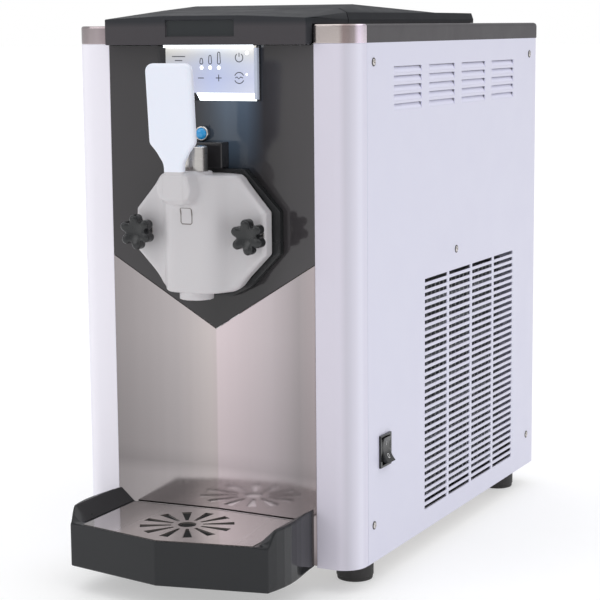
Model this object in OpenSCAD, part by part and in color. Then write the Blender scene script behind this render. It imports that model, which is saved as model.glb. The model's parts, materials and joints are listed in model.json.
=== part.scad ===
// Countertop soft ice cream maker with a single spout.
// X runs to the machine's right, Y runs into the machine, Z is up, all in millimetres.
// The origin is on the worktop, at the middle of the space that the machine takes up.
// Heights in this file are measured from the worktop. Depths are measured from the front
// face of the corner posts, and from_front() carries them into the row's frame.

/* [Cabinet] */
// Width over the side panels
cab_w = 290; // [280:1:310]
// Depth from the corner posts to the rear panel
cab_d = 477; // [470:1:500]
// Height of the side panels
cab_h = 475; // [472:1:480]
// Height of the rubber feet
foot_h = 22; // [18:1:30]
// Radius of the rubber feet
foot_r = 17.5; // [14:0.5:20]
// Width of each front corner post
post_w = 40; // [38:1:44]
// Outer radius of each corner post
post_r = 22; // [16:1:24]
// Sheet thickness of the side and rear panels
sheet_t = 1.2; // [0.8:0.1:1.5]

/* [Top] */
// Height of the black cap and the corner trims
cap_h = 16.5; // [14:0.5:20]
// Half the width of the tank lid
lid_hw = 101; // [99:0.2:103]
// Height of the lid's ridge above the cap
ridge_h = 18.5; // [14:0.5:24]
// Half the length of the lid's ridge, which is shorter than the lid is wide
ridge_hw = 84; // [60:1:98]

/* [Front panel] */
// How far the middle crease of the front is set back
crease_d = 6.6; // [4:0.2:8]
// Height of the pointed lower edge of the black panel at its middle
panel_tip_z = 236; // [225:1:250]
// Height of the lower edge of the black panel at the posts
panel_end_z = 301; // [295:1:305]

/* [Door] */
// Half the width of the white door
door_hw = 66.5; // [64:0.5:68]
// Height of the freezing cylinder's axis
axis_z = 328; // [327:0.5:329]
// Thickness of the door's plate
door_t = 17; // [14:0.5:18]
// Distance between the two star knobs
knob_pitch = 114.4; // [112:0.2:115]
// Outer diameter of a star knob
knob_d = 32; // [28:0.5:36]

/* [Dispensing] */
// Radius of the steel piston
piston_r = 11.7; // [11:0.1:12]
// Radius of the spout
spout_r = 15.5; // [15:0.5:17]
// Height of the lower end of the spout
spout_z = 269; // [266:0.5:272]
// Half the width of the lever's paddle
paddle_hw = 22.7; // [20:0.1:24]
// Forward lean of the lever, in degrees
lever_lean = 4.5; // [3:0.1:6]

/* [Drip tray] */
// Height of the drip plate
plate_z = 64.4; // [60:0.2:68]
// Reach of the drip tray in front of the posts
tray_reach = 112; // [105:1:118]
// Height of the raised side cheeks
cheek_z = 78; // [74:1:82]
// Number of radial slots in the drip plate
plate_slots = 12; // [8:1:16]

/* [Ventilation] */
// Rows of slots in the large side grille
vent_rows = 34; // [20:1:34]
// Columns of slots in the large side grille
vent_cols = 4; // [3:1:4]

/* [Inside] */
// Inner radius of the freezing cylinder
barrel_r = 50; // [46:1:50]
// Length of the freezing cylinder behind the door
barrel_len = 228; // [200:1:232]
// Turns of the evaporator tube round the cylinder
coil_turns = 14; // [8:1:16]

/* [Hidden] */
$fn = 48;

// Row frame: the tray's front and the rear panel are the ends of the footprint.
rear_rim = 3;
front_y = -(cab_d + rear_rim - tray_reach) / 2;

hw = cab_w / 2;
post_tail = 4;
body_z0 = foot_h;
body_z1 = foot_h + cab_h;
cap_z1 = body_z1 + cap_h;
run_gap = 0.08;

black = [0.13, 0.13, 0.14];
soft_black = [0.2, 0.2, 0.21];
pale = [0.87, 0.86, 0.91];
white = [0.93, 0.93, 0.95];
steel = [0.66, 0.64, 0.63];
bright = [0.8, 0.78, 0.76];
copper = [0.72, 0.45, 0.3];

// Front panel and backsplash: a shallow V in plan, between the posts.
panel_hw = hw - post_w;
skin_t = 2.5;
seam = 0.3;

// Door stack, from the flange out to the knobs.
door_back = -5;
door_front = door_back - door_t;
flange_front = door_back + 0.2;
flange_back = 11;
flange_grow = 6.5;
mount_ring_t = 3;
bulge_hw = 28;
bulge_front = -45;
bulge_top = 376;
door_top_z = axis_z + 54;
stud_r = 4;

// Dispensing valve.
valve_y = -28.5;
piston_z0 = 292;
piston_z1 = 406.6;
bore_r = piston_r + run_gap;
port_z = 307;
port_r = 7;
pivot = [-54, 371];
knuckle_r = 13.5;
knuckle_hw = 10;
ear_hw = 17;
pin_r = 4;
pin_x = [-ear_hw, ear_hw - 2.5];
finger_len = -28.5 - pivot[0];
finger_r = 4.5;

// Display, push button and mains switch: ranges or centres in the faces they sit in.
display_x = [-43, 47.5];
display_z = [453, 495.2];
display_front = -3.2;
display_back = 8.8;
light_x0 = -11.5;
bezel_x = [-54, 51];
bezel_z = [446, 495.2];
button_c = [-9.5, 416];
button_r = 5.02;
switch_c = [62.3, 123.2];
switch_body = [21, 27];
axle_r = 1.1;
dasher_bush_r = 9;
dasher_tip_r = 5;
dasher_y = [10, barrel_len - 7];
rail_r = 36;
feed_y = 112;
seal_r = 14;

// Tank and lid.
tank_y0 = 86;
tank_y1 = 398.5;
tank_hw = 98;
tank_floor = 404;
lid_y0 = 83;
lid_y1 = 401;
lid_wall = 1.6;
hood_hw = panel_hw - 1.8;
hood_y1 = 82.2;

// Drip tray.
tray_z0 = 23;
tray_wall = 2.5;
plate_hw = 87;
plate_t = 1.6;
plate_cy = -53.5;

// Large side grille and the pressed louvres above it.
vent_y0 = 160;
vent_z0 = 42.2;
vent_slot = [58, 3.8];
vent_pitch = [63.3, 6.8];
louvre_y0 = 85.5;
louvre_z0 = 434.8;
louvre_size = [66, 6.2];
louvre_pitch = [84.6, 8.5];
louvre_rows = 5;
louvre_cols = 4;

side_screws = [[40, 480], [456, 480], [242, 290.6], [39, 57], [457, 57]];
rear_screw_x = hw - 18.2;
rear_screw_z = [57, 262, 480];
screw_r = 2;
foot_spots = [[118.3, 54.3], [118.3, 437]];
foot_screw_r = 3.2;
tray_hook_x = [-45, 45];

// Mains inlet in the rear panel.
inlet_c = [-70, 70];
inlet_body = [27, 20];

// Refrigeration.
fan_shaft_r = 2.52;
duct_x = 84;
fan_y = 285;
fan_z = 128;
fan_r = 76;
comp_x = -45;
comp_y = 230;
comp_r = 68;
comp_z1 = body_z0 + 131.5;

module from_front() {
    translate([0, front_y, 0]) children();
}

// Shapes drawn in the Y-Z plane and pushed along X, from x0 to x1.
module along_x(x0, x1) {
    translate([x0, 0, 0]) rotate([90, 0, 90]) linear_extrude(x1 - x0) children();
}

// Shapes drawn in the X-Z plane and pushed along Y, from y0 to y1.
module along_y(y0, y1) {
    translate([0, y1, 0]) rotate([90, 0, 0]) linear_extrude(y1 - y0) children();
}

// Round bar or bore along Y.
module bar_y(r, y0, y1, x = 0, z = 0) {
    translate([x, y1, z]) rotate([90, 0, 0]) cylinder(r = r, h = y1 - y0);
}

// Round bar or bore along X.
module bar_x(r, x0, x1, y = 0, z = 0) {
    translate([x0, y, z]) rotate([0, 90, 0]) cylinder(r = r, h = x1 - x0);
}

module block(lo, hi) {
    translate(lo) cube(hi - lo);
}

module both_sides() {
    children();
    mirror([1, 0, 0]) children();
}

// Rectangle from lo to hi with round corners.
module round_rect(lo, hi, r) {
    translate([lo[0] + r, lo[1]]) square([hi[0] - lo[0] - 2 * r, hi[1] - lo[1]]);
    translate([lo[0], lo[1] + r]) square([hi[0] - lo[0], hi[1] - lo[1] - 2 * r]);
    for (x = [lo[0] + r, hi[0] - r], y = [lo[1] + r, hi[1] - r])
        translate([x, y]) circle(r);
}

// Plan of the shallow V, from its front surface back by t.
module vee_plan(t, half = panel_hw) {
    rise = crease_d * half / panel_hw;
    polygon([
        [-half, crease_d - rise], [0, crease_d], [half, crease_d - rise],
        [half, crease_d - rise + t], [0, crease_d + t], [-half, crease_d - rise + t]
    ]);
}

// Front outline of the door, or of the flange round it when grown.
module door_outline(grow = 0) {
    w = door_hw + grow;
    polygon([for (p = [
        [37, 54], [w, 20], [w, -18], [38 + grow / 2, -47 - grow / 2], [22, -53 - grow],
        [-22, -53 - grow], [-38 - grow / 2, -47 - grow / 2], [-w, -18], [-w, 20], [-37, 54]
    ]) [p[0], axis_z + p[1] + (p[1] == 54 ? grow / 2 : 0)]]);
}

// ---- Cabinet ----

module base_pan() {
    flange_h = 20;
    lip = crease_d + skin_t + 0.5;
    color(steel) from_front() difference() {
        block([-hw + 2, lip, body_z0], [hw - 2, cab_d - sheet_t, body_z0 + flange_h]);
        block([-hw + 3.5, lip + 10, body_z0 + 1.5], [hw - 3.5, cab_d - 4, body_z0 + flange_h + 1]);
        both_sides() block([panel_hw, lip - 1, body_z0 - 1],
            [hw, post_r + post_tail, body_z0 + flange_h + 1]);
        block([-hw, lip - 1, body_z0 + 1.5], [hw, lip + 20, body_z0 + flange_h + 1]);
        for (side = [-1, 1], s = foot_spots)
            translate([side * s[0], s[1], body_z0 - 1]) cylinder(r = foot_screw_r, h = 4);
    }
}

module feet() {
    color(soft_black) from_front() for (side = [-1, 1], s = foot_spots)
        translate([side * s[0], s[1], 0]) difference() {
            union() {
                cylinder(r1 = foot_r - 1, r2 = foot_r, h = 2);
                translate([0, 0, 2]) cylinder(r = foot_r, h = foot_h - 2);
            }
            translate([0, 0, -1]) cylinder(r = 7, h = 9);
            cylinder(r = foot_screw_r, h = foot_h + 1);
        }
}

module foot_screws() {
    color(steel) from_front() for (side = [-1, 1], s = foot_spots)
        translate([side * s[0], s[1], 0]) {
            translate([0, 0, 4]) cylinder(r = 6, h = 4);
            translate([0, 0, 8]) cylinder(r = 3, h = foot_h - 1);
        }
}

// Plan of a corner post, drawn in from its outer face by inset, with a flat tail at its rear.
module post_plan(inset, tail = post_tail) {
    cx = hw - post_r;
    translate([panel_hw, inset]) square([cx - panel_hw, post_r + tail - inset]);
    intersection() {
        translate([cx, post_r]) circle(post_r - inset);
        translate([cx, 0]) square(post_r);
    }
    translate([cx, post_r]) square([post_r - inset, tail]);
}

module post() {
    wall = 2;
    color(pale) from_front() difference() {
        translate([0, 0, body_z0]) linear_extrude(cab_h) post_plan(0);
        translate([0, 0, body_z0 - 1]) linear_extrude(cab_h + 2) intersection() {
            post_plan(wall, post_tail + 1);
            translate([panel_hw + wall, 0]) square([post_w, post_r + post_tail + 2]);
        }
    }
}

module post_right() {
    post();
}

module post_left() {
    mirror([1, 0, 0]) post();
}

module trim() {
    wall = 1.5;
    color(bright) from_front() difference() {
        translate([0, 0, body_z1]) linear_extrude(cap_h) post_plan(0);
        translate([0, 0, body_z1 - 1]) linear_extrude(cap_h - wall + 1) intersection() {
            post_plan(wall);
            translate([panel_hw + wall, 0]) square([post_w, post_r + post_tail - wall]);
        }
    }
}

module trim_right() {
    trim();
}

module trim_left() {
    mirror([1, 0, 0]) trim();
}

// Openings of one side panel, drawn in the Y-Z plane.
module side_slots() {
    for (c = [0 : vent_cols - 1], r = [0 : vent_rows - 1])
        translate([vent_y0 + c * vent_pitch[0], vent_z0 + r * vent_pitch[1]]) square(vent_slot);
    for (c = [0 : louvre_cols - 1], r = [0 : louvre_rows - 1])
        translate([louvre_y0 + c * louvre_pitch[0], louvre_z0 + r * louvre_pitch[1]])
            square(louvre_size);
    for (s = side_screws)
        translate(s) circle(screw_r + 0.2);
}

// One louvre: a blade bent in along the lower edge of its slot, open along the top.
module louvre_blade() {
    top = louvre_size[1] - 0.5;
    depth = 2.8;
    along_y(0, louvre_size[0]) polygon([
        [hw, 0], [hw - depth, top], [hw - depth - 1, top], [hw - sheet_t, -0.4], [hw, -0.4]
    ]);
}

module side_panel(with_switch) {
    y0 = post_r + post_tail;
    return_w = 12;
    color(pale) from_front() {
        along_x(hw - sheet_t, hw) difference() {
            translate([y0, body_z0]) square([cab_d - y0, cab_h]);
            side_slots();
            if (with_switch) translate(switch_c) square(switch_body, center = true);
        }
        block([hw - return_w, cab_d - sheet_t, body_z0 + 0.2], [hw - sheet_t, cab_d, body_z1]);
        for (c = [0 : louvre_cols - 1], r = [0 : louvre_rows - 1])
            translate([0, louvre_y0 + c * louvre_pitch[0], louvre_z0 + r * louvre_pitch[1]])
                louvre_blade();
    }
}

module side_panel_right() {
    side_panel(true);
}

module side_panel_left() {
    mirror([1, 0, 0]) side_panel(false);
}

module rear_panel() {
    w = hw - 12.2;
    color(pale) from_front() along_y(cab_d - sheet_t, cab_d) difference() {
        translate([-w, body_z0 + 0.2]) square([2 * w, cab_h - 0.2]);
        for (x = [-70 : 20 : 50], z = [330 : 12 : 402])
            translate([x, z]) square([16, 5]);
        translate(inlet_c) square(inlet_body + [0.4, 0.4], center = true);
        for (x = [-rear_screw_x, rear_screw_x], z = rear_screw_z)
            translate([x, z]) circle(screw_r + 0.2);
    }
}

module panel_screws() {
    head_r = 4;
    head_t = 1.4;
    length = 8;
    color(bright) from_front() {
        both_sides() for (s = side_screws) {
            bar_x(head_r, hw, hw + head_t, s[0], s[1]);
            bar_x(screw_r, hw - length, hw, s[0], s[1]);
        }
        for (x = [-rear_screw_x, rear_screw_x], z = rear_screw_z) {
            bar_y(head_r, cab_d, cab_d + head_t, x, z);
            bar_y(screw_r, cab_d - length, cab_d, x, z);
        }
    }
}

// ---- Top ----

module top_cap() {
    wall = 3;
    inner_hw = hw - wall;
    y0 = post_r + post_tail;
    color(black) from_front() difference() {
        block([-hw, y0, body_z1], [hw, cab_d + rear_rim, cap_z1]);
        block([-inner_hw, y0 + wall, body_z1 - 1], [inner_hw, cab_d - wall, cap_z1 - wall]);
        block([-tank_hw - 1, tank_y0 - 1, body_z1], [tank_hw + 1, tank_y1 + 1, cap_z1 + 1]);
    }
}

// Outer form of the hood, drawn back from its skin by inset. Its sides fill the gap
// between the trims, and its middle facet stands out furthest.
module hood_form(inset) {
    side_w = hood_hw - inset;
    mid_w = 38;
    base_w = lid_hw - inset;
    shoulder_w = lid_hw - 1.7 - inset;
    back_w = 91.5 - inset;
    back_y = [hood_y1 - 2 - inset, hood_y1 - inset];
    z0 = body_z1 - 1;
    z1 = cap_z1 - inset;
    hull() {
        translate([0, 0, z0]) linear_extrude(cap_h + 6.9 - inset) polygon([
            [-side_w, -10 + inset], [side_w, -10 + inset], [side_w, -4], [-side_w, -4]
        ]);
        translate([0, 0, z0]) linear_extrude(cap_h + 9.5 - inset)
            polygon([[-mid_w, -15 + inset], [mid_w, -15 + inset], [mid_w, -8], [-mid_w, -8]]);
        block([-base_w, back_y[0], z1 - 2], [base_w, back_y[1], z1 + 4.2]);
        block([-shoulder_w, back_y[0], z1 + 4], [shoulder_w, back_y[1], z1 + 10.7]);
        block([-back_w, back_y[0], z1 + 10], [back_w, back_y[1], z1 + 14.5]);
    }
}

module front_hood() {
    wall = 2.5;
    back_y = 3;
    pocket_x = [-36, 34];
    pocket_z = [body_z1 + 6.5, body_z1 + 21];
    color(black) from_front() difference() {
        hood_form(0);
        hood_form(wall);
        block([-hw, back_y, body_z1 - 9], [hw, hood_y1 + 1, cap_z1 + 0.1]);
        block([pocket_x[0], -20, pocket_z[0]], [pocket_x[1], -13.2, pocket_z[1]]);
    }
}

// The lid as a solid, its roof falling from the ridge to all four sides.
module lid_form(inset, z0) {
    skirt_z = cap_z1 + 4.2;
    shoulder = [lid_hw - 1.7, cap_z1 + 10.7];
    ridge_z = cap_z1 + ridge_h;
    ridge_y = 127.5;
    flat_y = 299;
    base_w = lid_hw - inset;
    intersection() {
        along_x(-base_w, base_w) polygon([
            [lid_y0 + inset, z0], [lid_y1 - inset, z0], [lid_y1 - inset, skirt_z],
            [lid_y1 - 1.6 - inset, cap_z1 + 10.5 - inset], [flat_y, cap_z1 + 10.9 - inset],
            [ridge_y, ridge_z - inset], [lid_y0 + inset, cap_z1 + 14.6 - inset]
        ]);
        along_y(lid_y0, lid_y1) polygon([
            [-base_w, z0], [base_w, z0], [base_w, skirt_z],
            [shoulder[0] - inset, shoulder[1] - inset], [ridge_hw, ridge_z - inset],
            [-ridge_hw, ridge_z - inset], [inset - shoulder[0], shoulder[1] - inset],
            [-base_w, skirt_z]
        ]);
    }
}

module tank_lid() {
    z0 = cap_z1 + 0.2;
    color(black) from_front() difference() {
        lid_form(0, z0);
        lid_form(lid_wall, z0 - 1);
    }
}

module hopper_tank() {
    wall = 1;
    corner_r = 5;
    rim_gap = 0.4;
    color(steel) from_front() difference() {
        union() {
            translate([0, 0, tank_floor]) linear_extrude(cap_z1 + 1.2 - tank_floor)
                round_rect([-tank_hw, tank_y0], [tank_hw, tank_y1], corner_r);
            translate([0, 0, cap_z1]) linear_extrude(1.2)
                round_rect([-lid_hw + lid_wall + rim_gap, lid_y0 + lid_wall + rim_gap],
                    [lid_hw - lid_wall - rim_gap, lid_y1 - lid_wall - rim_gap], corner_r);
            translate([0, feed_y, axis_z + barrel_r + 2]) cylinder(r = 15, h = 26);
        }
        translate([0, 0, tank_floor + wall]) linear_extrude(cap_z1 - tank_floor + 2)
            round_rect([-tank_hw + wall, tank_y0 + wall], [tank_hw - wall, tank_y1 - wall],
                corner_r - wall);
        translate([0, feed_y, axis_z]) cylinder(r = 13, h = 90);
        bar_y(barrel_r + 2, 60, 160, 0, axis_z);
    }
}

// Plastic tube that stands in the tank's neck and lets mix and air down to the cylinder.
module feed_tube() {
    color(white) from_front() translate([0, feed_y, axis_z + barrel_r + 10]) difference() {
        union() {
            cylinder(r = 12.8, h = 22);
            cylinder(r = 9, h = 100);
            translate([0, 0, 22]) cylinder(r = 15.5, h = 3);
        }
        translate([0, 0, -1]) cylinder(r = 6.5, h = 102);
        translate([0, 0, 32]) rotate([90, 0, 0]) cylinder(r = 3, h = 40, center = true);
    }
}

// ---- Front ----

// Everything above the pointed boundary, moved up by lift, as seen from the front.
module above_boundary(lift, top = body_z1) {
    along_y(-30, 30) polygon([
        [-panel_hw, panel_end_z + lift], [0, panel_tip_z + lift], [panel_hw, panel_end_z + lift],
        [panel_hw, top], [-panel_hw, top]
    ]);
}

module front_panel() {
    color(black) from_front() difference() {
        intersection() {
            translate([0, 0, body_z0]) linear_extrude(cab_h) vee_plan(skin_t);
            above_boundary(seam, body_z1 - 1.5);
        }
        along_y(-30, 30) door_outline(flange_grow);
        block([bezel_x[0], -20, bezel_z[0]], [bezel_x[1], 30, bezel_z[1]]);
        bar_y(6, -20, 30, button_c[0], button_c[1]);
    }
}

module backsplash() {
    color(steel) from_front() difference() {
        translate([0, 0, body_z0 + 2]) linear_extrude(panel_end_z - body_z0 - 2) vee_plan(1.5);
        above_boundary(-seam);
        for (x = tray_hook_x)
            block([x - 6.2, -10, 47.8], [x + 6.2, 20, 56.2]);
    }
}

// Moulded octagonal seat for the door, which shows round it as a black edge.
module door_flange() {
    color(soft_black) from_front() difference() {
        along_y(flange_front, flange_back) door_outline(flange_grow);
        bar_y(barrel_r + 2, -10, 20, 0, axis_z);
        for (x = [-knob_pitch / 2, knob_pitch / 2])
            bar_y(stud_r, -10, 20, x, axis_z);
    }
}

module door_studs() {
    color(bright) from_front() for (x = [-knob_pitch / 2, knob_pitch / 2])
        bar_y(stud_r, -37, flange_back + mount_ring_t, x, axis_z);
}

module display_bezel() {
    color(black) from_front() difference() {
        block([bezel_x[0], 1.5, bezel_z[0]], [bezel_x[1], 11, bezel_z[1]]);
        block([display_x[0], 0, bezel_z[0] - 1], [display_x[1], display_back, bezel_z[1] + 1]);
    }
    color(black) from_front() along_x(display_x[0], light_x0) sill_section();
}

// Section of the sloping sill under the display.
module sill_section() {
    polygon([
        [display_front, display_z[0]], [display_back, display_z[0]],
        [display_back, bezel_z[0]], [3.4, bezel_z[0]]
    ]);
}

module display_panel() {
    color([0.72, 0.74, 0.82]) from_front()
        block([display_x[0], display_front, display_z[0]],
            [display_x[1], display_back, display_z[1]]);
}

// Light strip in the right-hand part of the sill.
module display_light() {
    color([0.97, 0.98, 1]) from_front() along_x(light_x0, display_x[1]) sill_section();
}

// Light strip under the hood that shines down over the display.
module hood_light() {
    color([0.97, 0.98, 1]) from_front()
        block([display_x[0], -7, 493.6], [display_x[1], -3.4, 496.5]);
}

module guide_block() {
    color(black) from_front()
        block([-17, -9, door_top_z + 3.4], [17, 5.4, door_top_z + 27]);
}

module button_ring() {
    color(bright) from_front() difference() {
        union() {
            bar_y(7, 0.8, 5.5, button_c[0], button_c[1]);
            bar_y(6, 5.5, 24, button_c[0], button_c[1]);
        }
        bar_y(button_r + run_gap, 0, 22, button_c[0], button_c[1]);
    }
}

module push_button() {
    color([0.18, 0.6, 0.8]) from_front()
        bar_y(button_r, -1.6, 14, button_c[0], button_c[1]);
}

// ---- Rocker switch on the right side panel ----

module switch_bezel() {
    color(black) from_front() translate([hw, switch_c[0], switch_c[1]]) {
        difference() {
            union() {
                block([0, -12.2, -15.2], [2, 12.2, 15.2]);
                block([-22, -switch_body[0] / 2, -switch_body[1] / 2],
                    [0, switch_body[0] / 2, switch_body[1] / 2]);
            }
            block([-9, -9, -13.1], [3, 9, 13.1]);
        }
        bar_y(axle_r, -10, 10, -1, 0);
    }
}

// The rocker turns on a small axle behind its face. Its lower end stands out when it is on.
module switch_rocker() {
    axle_x = hw - 1;
    tilt = 10;
    color(soft_black) from_front() translate([axle_x, switch_c[0], switch_c[1]])
        rotate([0, -tilt, 0]) difference() {
            along_y(-8.4, 8.4) polygon([
                [-2, -8], [5.2, -12], [7.2, -11.6], [4.4, -6], [3.4, 0], [4.4, 6], [7.2, 11.6],
                [5.2, 12], [-2, 8]
            ]);
            bar_y(axle_r + run_gap, -9, 9);
        }
}

// ---- Door and dispensing valve ----

module door() {
    slot_hw = 6.1;
    color(white) from_front() difference() {
        union() {
            along_y(door_front, door_back) door_outline();
            bar_y(barrel_r - 1.2, door_back, 7, 0, axis_z);
            translate([0, 0, axis_z - 51]) linear_extrude(bulge_top - axis_z + 51)
                round_rect([-bulge_hw, bulge_front], [bulge_hw, door_front + 12], 10);
            translate([0, valve_y, spout_z]) cylinder(r = spout_r, h = 40);
            translate([0, valve_y, bulge_top - 1]) cylinder(r = bore_r + 4, h = 9.5);
            along_x(-ear_hw, ear_hw) {
                translate(pivot) circle(15);
                translate([pivot[0], pivot[1] - 15]) square([20, 20]);
                polygon([[pivot[0], 386], [pivot[0], 356], [-40, 345], [-40, 380]]);
            }
        }
        translate([0, valve_y, spout_z - 1]) cylinder(r = bore_r, h = 150);
        block([-knuckle_hw - 0.4, -80, pivot[1] - 15.5], [knuckle_hw + 0.4, -39.8, 400]);
        block([-5.4, -42, pivot[1] - 12], [5.4, valve_y, 400]);
        bar_x(pin_r, pin_x[0] - 1, pin_x[1], pivot[0], pivot[1]);
        bar_y(port_r, valve_y, 8, 0, port_z);
        bar_y(dasher_bush_r, -3, 8, 0, axis_z);
        for (x = [-knob_pitch / 2, knob_pitch / 2])
            bar_y(stud_r + 0.35, -30, 0, x, axis_z);
        translate([0, -1.2, axis_z]) rotate([-90, 0, 0])
            rotate_extrude() translate([barrel_r - 3.4, 0]) square([4, 4.2]);
        block([-slot_hw, bulge_front - 1, 338], [-slot_hw + 0.6, bulge_front + 1, 353.4]);
        block([slot_hw - 0.6, bulge_front - 1, 338], [slot_hw, bulge_front + 1, 353.4]);
        block([-slot_hw, bulge_front - 1, 337.4], [slot_hw, bulge_front + 1, 338]);
    }
}

module door_gasket() {
    color(soft_black) from_front() translate([0, 0.9, axis_z]) rotate([-90, 0, 0])
        rotate_extrude($fn = 64) translate([barrel_r - 1.72, 0]) circle(1.65, $fn = 20);
}

// Bearing bush for the front end of the dasher, held in the back of the door.
module dasher_bush() {
    color(white) from_front() difference() {
        bar_y(dasher_bush_r, -3, 7.5, 0, axis_z);
        bar_y(dasher_tip_r + run_gap, -1, 8, 0, axis_z);
    }
}

module knob_washers() {
    color(bright) from_front() for (x = [-knob_pitch / 2, knob_pitch / 2]) difference() {
        bar_y(9, door_front - 1.5, door_front, x, axis_z);
        bar_y(stud_r + 0.35, door_front - 2, door_front + 1, x, axis_z);
    }
}

module star_knob() {
    lobes = 6;
    lobe_r = 4.4;
    ring_r = knob_d / 2 - lobe_r;
    color(soft_black) difference() {
        union() {
            along_y(-42, -28) union() {
                circle(ring_r);
                for (i = [0 : lobes - 1])
                    rotate((i + 0.6) * 360 / lobes) translate([ring_r, 0]) circle(lobe_r);
            }
            bar_y(8.5, -28, door_front - 1.7);
        }
        bar_y(stud_r + run_gap, -38.5, 0);
        bar_y(8, -43, -41);
    }
}

module knob_left() {
    from_front() translate([-knob_pitch / 2, 0, axis_z]) star_knob();
}

module knob_right() {
    from_front() translate([knob_pitch / 2, 0, axis_z]) star_knob();
}

module lever_pin() {
    color(bright) from_front() bar_x(pin_r, pin_x[0], pin_x[1], pivot[0], pivot[1]);
}

// Paddle, knuckle on the pin, and the finger behind it that lifts the piston.
module lever() {
    thick = 9;
    top = 111;
    corner = 7;
    neck_hw = 9.8;
    color(white) from_front() translate([0, pivot[0], pivot[1]]) difference() {
        union() {
            bar_x(knuckle_r, -knuckle_hw, knuckle_hw);
            rotate([lever_lean, 0, 0]) translate([0, -knuckle_r, 0]) {
                along_y(0, thick) polygon([
                    [-neck_hw, 0], [neck_hw, 0], [neck_hw, 25], [paddle_hw, 40],
                    [paddle_hw, top - corner], [-paddle_hw, top - corner], [-paddle_hw, 40],
                    [-neck_hw, 25]
                ]);
                along_y(0, thick) translate([-paddle_hw + corner, top - 2 * corner])
                    square([2 * (paddle_hw - corner), 2 * corner]);
                for (x = [-paddle_hw + corner, paddle_hw - corner])
                    bar_y(corner, 0, thick, x, top - corner);
            }
            block([-4, 0, -3], [4, finger_len, 3]);
            bar_x(finger_r, -4, 4, finger_len, 0);
        }
        bar_x(pin_r + run_gap, -20, 20);
    }
}

module piston() {
    groove_z = [297, 320, 345];
    color(bright) from_front() translate([0, valve_y, 0]) difference() {
        union() {
            translate([0, 0, piston_z0]) cylinder(r = piston_r, h = piston_z1 - piston_z0 - 1);
            translate([0, 0, piston_z1 - 1]) cylinder(r1 = piston_r, r2 = piston_r - 1, h = 1);
        }
        along_x(-4.8, 4.8) translate([0, pivot[1]]) polygon([
            [-14, -11], [-5.5, -6], [6.5, -6], [6.5, 6], [-14, 6]
        ]);
        for (z = groove_z)
            translate([0, 0, z]) rotate_extrude() translate([piston_r - 2.2, 0])
                square([4, 2.4]);
    }
}

module piston_seals() {
    color(soft_black) from_front() translate([0, valve_y, 0]) for (z = [297, 320, 345])
        translate([0, 0, z + 1.2]) rotate_extrude($fn = 48)
            translate([piston_r - 1.08, 0]) circle(1.1, $fn = 16);
}

// ---- Freezing group ----

module freezing_cylinder() {
    y1 = barrel_len;
    end_t = 4;
    gland_r = 20;
    color(steel) from_front() difference() {
        union() {
            bar_y(barrel_r + 2, flange_front + 0.2, y1, 0, axis_z);
            bar_y(barrel_r + 16, flange_back, flange_back + mount_ring_t, 0, axis_z);
            bar_y(gland_r, y1, y1 + 16, 0, axis_z);
        }
        bar_y(barrel_r, -10, y1 - end_t, 0, axis_z);
        bar_y(8, y1 - end_t - 1, y1 + end_t, 0, axis_z);
        bar_y(seal_r, y1 + end_t, y1 + 17, 0, axis_z);
        translate([0, feed_y, axis_z]) cylinder(r = 13, h = 60);
        for (x = [-knob_pitch / 2, knob_pitch / 2])
            bar_y(stud_r, flange_back - 1, flange_back + mount_ring_t + 1, x, axis_z);
    }
}

// Copper tube wound round the cylinder, drawn as one ring per turn.
module evaporator_coil() {
    tube_r = 4;
    y0 = 26;
    step = (barrel_len - y0 - 12) / (coil_turns - 1);
    color(copper) from_front() for (i = [0 : coil_turns - 1]) {
        y = y0 + i * step;
        if (abs(y - feed_y) > 15 + tube_r) translate([0, y, axis_z]) rotate([-90, 0, 0])
            rotate_extrude($fn = 64) translate([barrel_r + 2.05 + tube_r, 0])
                circle(tube_r, $fn = 16);
    }
}

module insulation() {
    inner_r = barrel_r + 11;
    side = 70;
    color([0.88, 0.84, 0.66]) from_front() difference() {
        block([-side, 16, axis_z - side], [side, barrel_len - 4, axis_z + side]);
        bar_y(inner_r, 15, barrel_len, 0, axis_z);
        translate([0, feed_y, axis_z]) cylinder(r = 15.5, h = 90);
    }
}

// Open-cage dasher on the drive shaft: two end plates, four rails and a helix of paddles.
module dasher() {
    plate_r = 41;
    plate_w = 4;
    paddles = 12;
    paddle_step = (dasher_y[1] - dasher_y[0] - 30) / (paddles - 1);
    color(bright) from_front() translate([0, 0, axis_z]) difference() {
        union() {
            bar_y(dasher_tip_r, -0.6, dasher_y[0] + 1);
            bar_y(7, dasher_y[0] + 1, dasher_y[1] - 1);
            bar_y(7.9, dasher_y[1] - 1, barrel_len + 40);
            bar_y(plate_r, dasher_y[0], dasher_y[0] + plate_w);
            bar_y(plate_r, dasher_y[1] - plate_w, dasher_y[1]);
            for (a = [0 : 90 : 270])
                rotate([0, a, 0])
                    block([31, dasher_y[0] + 1, -2.5], [rail_r, dasher_y[1] - 1, 2.5]);
            for (i = [0 : paddles - 1])
                translate([0, dasher_y[0] + 13 + i * paddle_step, 0]) rotate([0, 90 * i, 0])
                    block([5, 0, -2], [32, 4, 2]);
        }
        for (a = [45 : 90 : 315])
            rotate([0, a, 0]) bar_y(10, dasher_y[0] - 1, dasher_y[1] + 1, 24);
        block([-2, barrel_len + 30, -2], [2, barrel_len + 41, 2]);
    }
}

// White plastic blades that wipe the frozen mix off the wall of the cylinder.
module scraper_blades() {
    window = 30;
    color(white) from_front() translate([0, 0, axis_z]) for (a = [0, 180])
        rotate([0, a, 0]) difference() {
            block([rail_r, dasher_y[0] + 5, -1.7], [barrel_r - 0.5, dasher_y[1] - 5, 1.7]);
            block([rail_r - 1, dasher_y[0] + window, -3], [rail_r + 5, dasher_y[1] - window, 3]);
        }
}

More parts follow.
